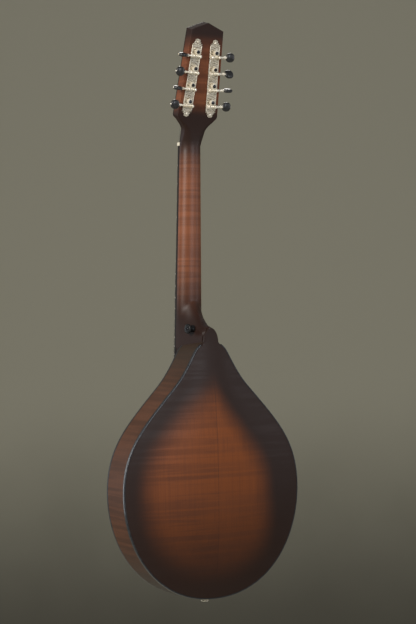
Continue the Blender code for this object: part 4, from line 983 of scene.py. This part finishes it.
def tunerStrip(side, word):
    user = tunerUser
    place = rowPlace[side]
    half = user["plateHalf"]
    heights = [(k - 1.5) * headSizes["pitch"] for k in range(4)]
    above, below = heights[-1] + user["above"], heights[0] - user["below"]
    upper = [(x, above + z) for x, z in scallopedEnd(half, user["finial"])]
    lower = [(x, below - z) for x, z in scallopedEnd(half, user["finial"])]
    outline = lower[::-1] + upper + [(-x, z) for x, z in upper[::-1]] + [(-x, z) for x, z in lower]
    strip = plateFrom("tunerStrip" + word, outline, user["plateThick"], place, 0.32 * mm)
    fitted(strip, "engraved", stands=["tuner_plate_" + word.lower()])
    rails, scrolls, lugs, screws = [], [], [], []
    for x in (-half * 0.86, half * 0.86):      # raised border along the strip's straight edges
        rail = [place @ Vector((x, user["plateThick"], below + (above - below) * k / 12)) for k in range(13)]
        rails.append(tubed("rail", rail, [0.5 * mm] * 13, 8))
    for k, z in enumerate(heights):
        if k < 3:
            middle = z + headSizes["pitch"] / 2 - 0.2 * mm
            spot = place @ Matrix.Translation((0, user["plateThick"], middle))
            scrolls += scrollWork(spot, 3.6 * mm, 1 if k % 2 == 0 else -1)
        for end in (-1, 1):
            x = end * user["lugSpread"]
            r, high = user["lugRadius"], user["shaftHeight"]
            rings = []
            for dx, shrink in ((-0.5, 0.25), (-0.36, 0.0), (0.36, 0.0), (0.5, 0.25)):
                rr = r - shrink * mm
                face = [(-rr, 0.5 * mm), (-rr, high)]
                capAngles = [math.pi * n / 12 for n in range(1, 12)]
                face += [(-rr * math.cos(t), high + rr * math.sin(t)) for t in capAngles]
                face += [(rr, high), (rr, 0.5 * mm)]
                rings.append([place @ Vector((x + dx * user["lugThick"], y, z - user["drop"] + h))
                              for h, y in face])
            lugs.append(lofted("lug", rings))
        foot = place @ Matrix.Translation((0, user["plateThick"], z - user["drop"]))
        base = [(-7.4 * mm, -3.0 * mm), (7.4 * mm, -3.0 * mm), (8.0 * mm, 0), (7.4 * mm, 3.0 * mm),
                (-7.4 * mm, 3.0 * mm), (-8.0 * mm, 0)]
        lugs.append(plateFrom("foot", base, 0.7 * mm, foot, 0.25 * mm))
    for tip, way in ((above + 0.52 * user["finial"], 1), (below - 0.52 * user["finial"], -1)):
        spot = place @ Matrix.Translation((0, user["plateThick"], tip - way * 4.4 * mm))
        scrolls += scrollWork(spot, 2.6 * mm, way)
        screws.append(slottedScrew(place @ Matrix.Translation((0, user["plateThick"], tip))
                                   @ Matrix.Rotation(-math.pi / 2, 4, "X"), 1.5 * mm, 0.75 * mm, 0.6))
    toBack = Matrix.Rotation(-math.pi / 2, 4, "X")
    for z in (heights[k] + headSizes["pitch"] / 2 + 0.2 * mm for k in range(3)):
        spot = place @ Matrix.Translation((-side * 6.3 * mm, user["plateThick"], z)) @ toBack
        screws.append(slottedScrew(spot, 1.25 * mm, 0.6 * mm, 0.3))
    fitted(joined("stripRails" + word, rails), "nickel")
    fitted(joined("scrollWork" + word, scrolls), "satin")
    fitted(joined("shaftLugs" + word, lugs), "nickel")
    fitted(joined("stripScrews" + word, screws), "nickel")


def slottedScrew(place, radius, high, turn):
    profile = [(0, -0.3 * mm), (radius, -0.3 * mm), (radius, 0.12 * mm)]
    profile += [(radius * math.cos(t),
                 0.12 * mm + (high - 0.12 * mm) * math.sin(t))
                 for t in (math.pi * k / 14 for k in range(1, 7))]
    profile.append((0, high))
    screw = lathed("screw", profile, place, 26)
    turned = place @ Matrix.Rotation(turn, 4, "Z")
    wide, long = radius * 0.13, radius * 1.3
    corners = [(x, y) for x, y in ((-long, -wide), (long, -wide), (long, wide), (-long, wide))]
    slotCut = lofted("slot",
                     [[turned @ Vector((x, y, h)) for x, y in corners] for h in (high * 0.55, high * 2)])
    return carved(screw, slotCut)


def gearWheel(name, place, z):
    user = tunerUser
    low, high = user["gearLow"], user["gearHigh"]
    twist = (high - low) / 2 * user["lead"] / (math.tau * 1.76 * mm) / (4.34 * mm)
    tooth = math.tau / user["teeth"]
    rings = []
    for y, share, trim in ((low, -1, 0.3), (low + 0.28 * mm, -0.8, 0.0), ((low + high) / 2, 0, 0.0),
                           (high - 0.28 * mm, 0.8, 0.0), (high, 1, 0.3)):
        ring = []
        for k in range(user["teeth"]):
            middle = -math.pi / 2 + (k + 0.5) * tooth
            for radius, shift in ((user["gearRoot"], -0.5), (user["gearRoot"] + 0.1 * mm, -0.36),
                                  (4.3 * mm, -0.2),
                                  (user["gearTip"] - trim * mm, -0.085),
                                  (user["gearTip"] - trim * mm, 0.085), (4.3 * mm, 0.2),
                                  (user["gearRoot"] + 0.1 * mm, 0.36)):
                angle = middle + shift * tooth - share * twist
                ring.append(place @ Vector((radius * math.cos(angle), y, z + radius * math.sin(angle))))
        rings.append(ring)
    return lofted("gear_" + name, rings, angle=25)


def stringPost(name, place, z):
    face = -headSizes["thickness"] - body["seam"]
    rise, waist = face - 13 * mm, face - 6.5 * mm
    high = tunerUser["gearHigh"]
    profile = [(0, high + 0.5 * mm), (3.1 * mm, high + 0.5 * mm), (3.1 * mm, high + 0.1 * mm),
               (3.0 * mm, high - 0.2 * mm),
               (2.8 * mm, waist + 3.9 * mm), (2.75 * mm, waist + 3.5 * mm), (2.35 * mm, waist + 3.0 * mm),
               (2.2 * mm, waist + 2.4 * mm),
               (2.2 * mm, waist - 2.4 * mm), (2.35 * mm, waist - 3.0 * mm), (2.75 * mm, waist - 3.5 * mm),
               (2.8 * mm, waist - 3.9 * mm),
               (2.8 * mm, rise + 1.0 * mm), (2.5 * mm, rise + 0.35 * mm), (1.8 * mm, rise), (0, rise)]
    spot = place @ Matrix.Translation((0, 0, z)) @ Matrix.Rotation(-math.pi / 2, 4, "X")
    return lathed("post_" + name, profile, spot, 32)


def wormGear(name, place, side, z):
    user = tunerUser
    spot = place @ Matrix.Translation((0, user["shaftHeight"], z - user["drop"]))
    around, steps = 28, 72
    half = user["wormTurns"] / 2 * user["lead"]
    rings = []
    for k in range(steps + 1):
        x = -half - 0.35 * mm + (2 * half + 0.7 * mm) * k / steps
        fade = min(1.0, max(0.0, (half - abs(x)) / (0.25 * user["lead"])))
        ring = []
        for j in range(around):
            turn = math.tau * j / around
            phase = (x / user["lead"] - turn / math.tau + 0.5) % 1.0 - 0.5
            high = max(0.0, 1 - abs(phase) / 0.34) * fade
            r = user["wormRoot"] + (user["wormTip"] - user["wormRoot"]) * high
            ring.append(spot @ Vector((x, r * math.cos(turn + math.pi / 2),
                                       r * math.sin(turn + math.pi / 2))))
        rings.append(ring)
    worm = lofted("worm_" + name, rings, angle=60)
    inner = -(user["lugSpread"] + user["lugThick"] / 2 + 1.3 * mm)
    outer = user["buttonReach"] - user["buttonLong"] + 4 * mm
    r, waist, lug = user["shaftRadius"], user["shaftWaist"], user["lugSpread"]
    profile = [(0, inner), (r * 1.1, inner), (r * 1.35, inner + 0.4 * mm), (r * 1.35, inner + 0.9 * mm),
               (r, inner + 1.2 * mm),
               (r, 0.95 * mm - lug), (waist, 1.2 * mm - lug), (waist, lug - 1.2 * mm), (r, lug - 0.95 * mm),
               (r, lug + 0.9 * mm), (r * 1.3, lug + 1.3 * mm), (r * 1.45, lug + 2.2 * mm),
               (r * 1.3, lug + 3.2 * mm), (r, lug + 3.8 * mm),
               (r * 0.92, lug + 8.2 * mm), (r * 1.35, lug + 8.9 * mm), (r * 1.45, lug + 9.7 * mm),
               (r * 1.3, lug + 10.6 * mm), (r, lug + 11 * mm),
               (r, outer), (0, outer)]
    turned = spot @ Matrix.Rotation(side * math.pi / 2, 4, "Y")
    shaft = lathed("shaft_" + name, profile, turned, 24)
    return worm, shaft


def thumbButton(name, place, side, z):
    user = tunerUser
    spot = place @ Matrix.Translation((0, user["shaftHeight"], z - user["drop"]))
    spot = spot @ Matrix.Rotation(math.radians(user["turns"][name]), 4, "X")
    rings = []
    steps, around = 22, 32
    for k in range(1, steps):
        u = math.cos(math.pi * k / steps)
        wide = (1 - abs(u) ** 2.3) ** (1 / 2.3)
        thick = 0.42 + 0.58 * (1 - abs(u) ** 2.6) ** (1 / 2.2)
        ring = []
        for j in range(around):
            t = math.tau * j / around
            c, s = math.cos(t), math.sin(t)
            y = user["buttonThick"] * thick * wide ** 0.35 * math.copysign(abs(c) ** 0.8, c)
            h = user["buttonWide"] * wide * math.copysign(abs(s) ** 0.92, s)
            ring.append(spot @ Vector((side * (user["buttonReach"] + user["buttonLong"] * u), y, h)))
        rings.append(ring)
    button = lofted("button_" + name, rings, angle=50)
    r = 1.25 * mm
    start = user["buttonReach"] + user["buttonLong"] - 0.5 * mm
    profile = [(0, start), (r, start), (r, start + 0.6 * mm), (r * 0.8, start + 1.0 * mm),
               (r * 0.45, start + 1.25 * mm), (0, start + 1.35 * mm)]
    tip = lathed("buttonTip_" + name, profile, spot @ Matrix.Rotation(side * math.pi / 2, 4, "Y"), 20)
    start = user["buttonReach"] - user["buttonLong"] - 0.6 * mm
    profile = [(0, start), (1.5 * mm, start), (1.75 * mm, start + 0.5 * mm), (1.75 * mm, start + 1.6 * mm),
               (0, start + 1.6 * mm)]
    ferrule = lathed("buttonFerrule_" + name, profile, spot @ Matrix.Rotation(side * math.pi / 2, 4, "Y"), 20)
    return button, tip, ferrule


for side, word in ((1, "Treble"), (-1, "Bass")):
    tunerStrip(side, word)
ferrules = []
for name, side, k in tuners:
    place = rowPlace[side]
    z = (k - 1.5) * headSizes["pitch"]
    fitted(gearWheel(name, place, z), "nickel", "post_" + name, ["gear_post_" + name])
    fitted(stringPost(name, place, z), "nickel", "post_" + name)
    screwAt = Matrix.Translation((0, tunerUser["gearHigh"] + 0.5 * mm, z))
    screwSpot = place @ screwAt @ Matrix.Rotation(-math.pi / 2, 4, "X")
    screw = slottedScrew(screwSpot, 2.6 * mm, 1.7 * mm, 0.4 + 0.9 * k)
    screw.name = "gearScrew_" + name
    fitted(screw, "screw", "post_" + name)
    worm, shaft = wormGear(name, place, side, z)
    fitted(worm, "nickel", "tuner_" + name, ["worm_shaft_" + name])
    fitted(shaft, "nickel", "tuner_" + name)
    button, tip, ferrule = thumbButton(name, place, side, z)
    fitted(button, "button", "tuner_" + name, ["tuner_button_" + name])
    fitted(tip, "nickel", "tuner_" + name)
    fitted(ferrule, "nickel", "tuner_" + name)
    front = -headSizes["thickness"] - body["seam"]
    spot = place @ Matrix.Translation((0, front, z)) @ Matrix.Rotation(math.pi / 2, 4, "X")
    profile = [(3.35 * mm, -0.4 * mm), (4.9 * mm, -0.4 * mm), (4.9 * mm, 0.35 * mm), (4.3 * mm, 0.7 * mm),
               (3.9 * mm, 1.5 * mm),
               (3.6 * mm, 1.7 * mm), (3.35 * mm, 1.6 * mm), (3.35 * mm, -0.4 * mm)]
    ferrules.append(lathed("ferrule", profile, spot, 32))
fitted(joined("postFerrules", ferrules), "nickel")
print("tuning machines assembled")

stringUser = {"sizes": {"e": 0.33 * mm, "a": 0.56 * mm, "d": 0.84 * mm, "g": 1.17 * mm}, "wraps": 2,
              "perTurn": 28,
              "action": 5.0 * mm, "nutAction": 1.2 * mm, "hookShare": 0.8}


def coursePlaces(spread, pair):
    step = (spread - pair) / 3
    found = {}
    for k, course in enumerate("gdae"):
        middle = -(spread - pair) / 2 + k * step
        nearBass, nearTreble = middle - pair / 2, middle + pair / 2
        first, second = (nearBass, nearTreble) if course in "gd" else (nearTreble, nearBass)
        found[course + "1"], found[course + "2"] = first, second
    return found


atNut = coursePlaces(26.4 * mm, 2.3 * mm)
atBridge = coursePlaces(47 * mm, 3.4 * mm)
bridgeBoard = neckSizes["boardFront"] - neckSizes["scale"] * math.sin(neckSizes["lean"])
hookZ = body["tail"] + 0.78 * 52 * mm
tailPlane = body["rimFront"] - 13 * mm


def stretchedString(name, side, k):
    user = stringUser
    r = user["sizes"][name[0]] / 2
    finish = "steel" if name[0] in "ea" else "wound"
    place = rowPlace[side]
    z = (k - 1.5) * headSizes["pitch"]
    hook = Vector((user["hookShare"] * atBridge[name], tailPlane - 2.6 * mm - r, hookZ - 1.5 * mm + r))
    crest = Vector((atBridge[name], bridgeBoard - user["action"] - r, bridgeZ))
    nutPoints = [neckPlace @ Vector((atNut[name], -user["nutAction"] - r, h * mm)) for h in (0.3, 5.0)]
    span = tubed("string_neck_" + name, [crest.lerp(nutPoints[0], t) for t in np.linspace(0, 1, 40)], r, 8)
    fitted(span, finish, None, ["string_" + name])
    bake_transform(span)
    tail = tubed("string_tail_" + name, [hook.lerp(crest, t) for t in np.linspace(0, 1, 16)], r, 8)
    fitted(tail, finish, None)
    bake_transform(tail)
    coil = 2.2 * mm + 0.1 * mm + r
    waist = -headSizes["thickness"] - body["seam"] - 6.5 * mm
    pitch = 2 * r + 0.12 * mm
    top = waist - pitch * user["wraps"] / 2
    first = math.pi if side > 0 else 0
    path = list(nutPoints)
    for n in range(user["perTurn"] * user["wraps"] + 1):
        turn = first - side * math.tau * n / user["perTurn"]
        local = Vector((coil * math.cos(turn), top + pitch * n / user["perTurn"], z + coil * math.sin(turn)))
        path.append(place @ local)
    end = tubed("string_post_" + name, path, r, 8)
    fitted(end, finish)
    ring = []
    for n in range(19):
        t = math.tau * n / 18
        ring.append(hook + Vector((1.15 * mm * math.sin(t), 0.0, -1.15 * mm + 1.15 * mm * math.cos(t) - r)))
    return tubed("loop", ring, max(r, 0.25 * mm), 8)


loops = [stretchedString(name, side, k) for name, side, k in tuners]
fitted(joined("stringLoops", loops), "steel")
print("strings stretched")

bridgeUser = {"studX": 27 * mm, "wheelRadius": 5.9 * mm, "wheelThick": 2.2 * mm, "studRadius": 1.95 * mm,
              "knurls": 36}


def bridgeMetal():
    user = bridgeUser
    saddleLow = bridgeBoard - 5.0 * mm + 0.3 * mm + 7 * mm
    for side, word in ((1, "Treble"), (-1, "Bass")):
        x = side * user["studX"]
        middle = saddleLow + 0.3 * mm + user["wheelThick"] / 2
        place = Matrix.Translation((x, middle, bridgeZ)) @ Matrix.Rotation(-math.pi / 2, 4, "X")
        rings = []
        half = user["wheelThick"] / 2
        for h, deep in ((-half, 0.7), (-half * 0.6, 0.0), (half * 0.6, 0.0), (half, 0.7)):
            ring = []
            for k in range(user["knurls"] * 2):
                r = user["wheelRadius"] - deep * mm - (0.22 * mm if k % 2 else 0.0)
                t = math.pi * k / user["knurls"]
                ring.append(place @ Vector((r * math.cos(t), r * math.sin(t), h)))
            rings.append(ring)
        wheel = lofted("bridgeWheel" + word, rings)
        fitted(wheel, "brass", "wheel_" + word.lower(), ["bridge_wheel_" + word.lower()])
        start, end = middle - 2.6 * mm, middle + 6.4 * mm
        profile = [(0, start)]
        for k in range(26):
            h = start + (end - start) * k / 25
            profile.append((user["studRadius"] + (0.0 if k % 2 else 0.14 * mm), h))
        profile.append((0, end))
        spot = Matrix.Translation((x, 0, bridgeZ)) @ Matrix.Rotation(-math.pi / 2, 4, "X")
        fitted(lathed("bridgeStud" + word, profile, spot, 20), "brass")


strapUser = {
    "turn": math.radians(10), "inside": 9.6 * mm, "behindRim": 23.5 * mm, "aboveEnd": 16 * mm,
    "foot": 4.2 * mm, "tall": 10.5 * mm, "radius": 7.2 * mm,
}


def hardwareTurned():
    pinY = (body["rimFront"] + body["rimBack"]) / 2 - 3 * mm
    base = body["tail"] - 1.8 * mm
    end = body["tail"] - 6.8 * mm
    profile = [(0, body["tail"] + 19 * mm), (2.5 * mm, body["tail"] + 19 * mm), (3.2 * mm, base),
               (5.3 * mm, base), (5.75 * mm, base - 0.3 * mm),
               (5.75 * mm, base - 0.9 * mm), (5.3 * mm, base - 1.25 * mm), (4.3 * mm, base - 1.6 * mm),
               (4.0 * mm, base - 2.0 * mm), (4.2 * mm, end + 2.3 * mm),
               (5.4 * mm, end + 1.7 * mm), (5.75 * mm, end + 1.2 * mm), (5.75 * mm, end + 0.7 * mm),
               (5.3 * mm, end + 0.15 * mm), (4.9 * mm, end), (0, end)]
    pin = lathed("endPin", profile, Matrix.Translation((0, pinY, 0)), 44)
    fitted(pin, "nickel", stands=["end_pin"])
    user = strapUser
    outward = Vector((math.cos(user["turn"]), math.sin(user["turn"]), 0))
    spot = Matrix.Translation((user["inside"], body["rimFront"] + user["behindRim"],
                               body["end"] + user["aboveEnd"]))
    spot = spot @ outward.to_track_quat("Z", "Y").to_matrix().to_4x4()
    foot, tall, r = user["foot"], user["tall"], user["radius"]
    shape = [(0.30, 1.0), (0.74, 1.0), (0.86, 0.975), (0.96, 0.92), (1.0, 0.86), (1.0, 0.76), (0.95, 0.71),
             (0.80, 0.64), (0.63, 0.52),
             (0.56, 0.42), (0.55, 0.30), (0.60, 0.18), (0.70, 0.07), (0.78, 0.0)]
    profile = [(0, foot + tall - 0.6 * mm),
               (0.28 * r, foot + tall - 0.6 * mm)] + [(s * r, foot + h * tall) for s, h in shape]
    profile += [(1.7 * mm, foot), (1.2 * mm, -8 * mm), (0, -8 * mm)]
    fitted(lathed("strapButton", profile, spot, 44), "strapBlack", stands=["strap_button"])
    screw = slottedScrew(spot @ Matrix.Translation((0, 0, foot + tall - 0.6 * mm)), 0.27 * r, 0.9 * mm, 0.7)
    screw.name = "strapScrew"
    fitted(screw, "screw")


def tailCover():
    wide = 24 * mm + 1.3 * mm
    rings = []
    rows = [(5.3, 6.4), (6.0, 7.4), (8, 8.0), (13, 8.6), (20, 9.5), (40, 10.5), (56, 11.2), (61, 11.3),
            (62, 10.7)]
    for along, tall in rows:
        z = body["tail"] + along * mm
        ring = []
        for shell, way in ((0.0, 1), (1.0, -1)):
            arc = [(wide - shell * mm, tailPlane + 1.2 * mm)]
            for k in range(25):
                t = math.pi * k / 24
                x = (wide - shell * mm) * math.copysign(abs(math.cos(t)) ** 0.8, math.cos(t))
                arc.append((x, tailPlane - (tall - shell) * mm * (0.55 + 0.45 * math.sin(t) ** 0.8)))
            arc.append((-(wide - shell * mm), tailPlane + 1.2 * mm))
            ring += [(x, y, z) for x, y in arc[::way]]
        rings.append(ring)
    fitted(lofted("tailCover", rings), "nickel", stands=["tailpiece_cover"])


bridgeMetal()
hardwareTurned()
tailCover()
coverScrews = []
for x, z in ((0, 27.5), (-5.2, 9.6), (5.2, 9.6)):
    spot = headPlace @ Matrix.Translation((x * mm, -1.5 * mm, z * mm)) @ Matrix.Rotation(math.pi / 2, 4, "X")
    coverScrews.append(slottedScrew(spot, 1.3 * mm, 0.7 * mm, 0.5))
fitted(joined("rodCoverScrews", coverScrews), "nickel")
print("bridge, tailpiece and buttons fitted")

carried = {
    "nut": "bone", "head_veneer": "ebony", "truss_rod": "steel", "truss_rod_cover": "ebony",
    "bridge_base": "ebony",
    "bridge_saddle": "ebony", "tailpiece": "nickel", "head_block": "mahogany", "tail_block": "mahogany",
    "back_lining": "mahogany", "top_lining": "mahogany", "tone_bar_treble": "bareSpruce",
    "tone_bar_bass": "bareSpruce",
}
for nodeName, finish in carried.items():
    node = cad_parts[nodeName]
    node.data.materials.clear()
    node.data.materials.append(finishes[finish].material)
print("carried nodes finished")

cameraUser = {
    "aim": Vector((3.5, 49.73, -244.745)) * mm,
    "back": Vector((0.5, math.sqrt(0.75), 0)),
    "distance": 2.5,
    "roll": math.radians(-0.85),
    "lens": 99.9,
}


def takeCamera():
    user = cameraUser
    right, up = Vector((-user["back"].y, user["back"].x, 0)), Vector((0, 0, 1))
    across = right * math.cos(user["roll"]) + up * math.sin(user["roll"])
    upward = -right * math.sin(user["roll"]) + up * math.cos(user["roll"])
    spot = user["aim"] + user["back"] * user["distance"]
    lens = bpy.data.cameras.new("photoCamera")
    lens.lens, lens.sensor_fit, lens.sensor_height, lens.sensor_width = user["lens"], "VERTICAL", 36, 36
    lens.clip_start, lens.clip_end = 0.05, 50
    camera = bpy.data.objects.new("photoCamera", lens)
    camera.matrix_world = Matrix((
        (across.x, upward.x, user["back"].x, spot.x),
        (across.y, upward.y, user["back"].y, spot.y),
        (across.z, upward.z, user["back"].z, spot.z),
        (0, 0, 0, 1)))
    bpy.context.scene.collection.objects.link(camera)
    bpy.context.scene.camera = camera


stageUser = {
    "floor": -2.4, "behind": 6.0, "ahead": 7.0, "curve": 1.2, "wallTop": 5.0, "halfWide": 9.0,
    "light": (0.60, 0.575, 0.475), "dark": (0.17, 0.16, 0.13), "floorPale": (0.80, 0.77, 0.66),
    "shadeFrom": -1.75, "shadeTo": -0.4,    # painted shade: heights on the wall between which it turns from dark to light
}


def seamlessBackdrop():
    user = stageUser
    back = cameraUser["back"]
    right = Vector((-back.y, back.x, 0))
    profile = [(user["ahead"], user["floor"]), (0.5, user["floor"])]
    for k in range(13):
        t = math.pi / 2 * k / 12
        profile.append((-user["behind"] + user["curve"] - user["curve"] * math.sin(t),
                        user["floor"] + user["curve"] * (1 - math.cos(t))))
    profile.append((-user["behind"], user["wallTop"]))
    rings = []
    for s in np.linspace(-1, 1, 9):
        rings.append([back * d + right * s * user["halfWide"] + Vector((0, 0, z)) for d, z in profile])
    sweep = lofted("backdrop", rings, closed=False, capped=False, angle=80)
    made = Finish("backdropPaper", "none", {"Roughness": 0.9, "Specular IOR Level": 0.1})
    spot = made.spot()
    mottle = made.noise(spot, 1.2, 3.0) * 0.3
    # painted shade: the wall is drawn darker towards the floor, for light falling off low down
    share = made.between(made.part(spot, 2) + mottle, user["shadeFrom"], user["shadeTo"])
    wall = made.mixed(share, user["dark"], user["light"])
    risen = made.between(made.part(spot, 2), user["floor"] + 0.02, user["floor"] + 0.35)
    made.lead("Base Color", made.mixed(risen, user["floorPale"], wall))
    sweep.data.materials.append(made.material)


lightUser = [
    # name, degrees right of the camera, height, distance, width, tall, watts, colour
    ("keySoft", -40, 1.0, 2.6, 1.2, 1.2, 66, (1.0, 0.96, 0.90)),
    ("windowSoft", 40, 0.5, 2.4, 0.8, 1.2, 16, (0.90, 0.94, 1.0)),
    ("rimStrip", 86, 0.35, 1.6, 0.22, 1.2, 3.5, (0.95, 0.91, 0.95)),
    ("frontSoft", 180, 2.3, 2.0, 1.2, 1.2, 40, (1.0, 0.97, 0.92)),     # for views of the strings' side
    ("edgeStrip", -112, 0.1, 1.6, 0.3, 1.4, 3, (0.9, 0.94, 1.0)),
]


def studioLights():
    back = cameraUser["back"]
    for name, degrees, height, distance, wide, tall, watts, colour in lightUser:
        turn = math.radians(degrees)
        direction = Matrix.Rotation(turn, 3, "Z") @ back
        spot = Vector((0, 0.02, -0.33)) + direction * distance + Vector((0, 0, height))
        lamp = bpy.data.lights.new(name, "AREA")
        lamp.shape, lamp.size, lamp.size_y, lamp.energy, lamp.color = "RECTANGLE", wide, tall, watts, colour
        obj = bpy.data.objects.new(name, lamp)
        aim = Vector((0, 0.02, -0.38)) - spot
        obj.matrix_world = Matrix.Translation(spot) @ aim.to_track_quat("-Z", "Y").to_matrix().to_4x4()
        bpy.context.scene.collection.objects.link(obj)
    world = bpy.data.worlds.new("studioAir")
    world.use_nodes = True
    world.node_tree.nodes["Background"].inputs["Color"].default_value = (0.80, 0.82, 0.80, 1)
    world.node_tree.nodes["Background"].inputs["Strength"].default_value = 0.21
    bpy.context.scene.world = world


takeCamera()
seamlessBackdrop()
studioLights()
bpy.context.scene.view_settings.view_transform = "Standard"
print("stage lit")
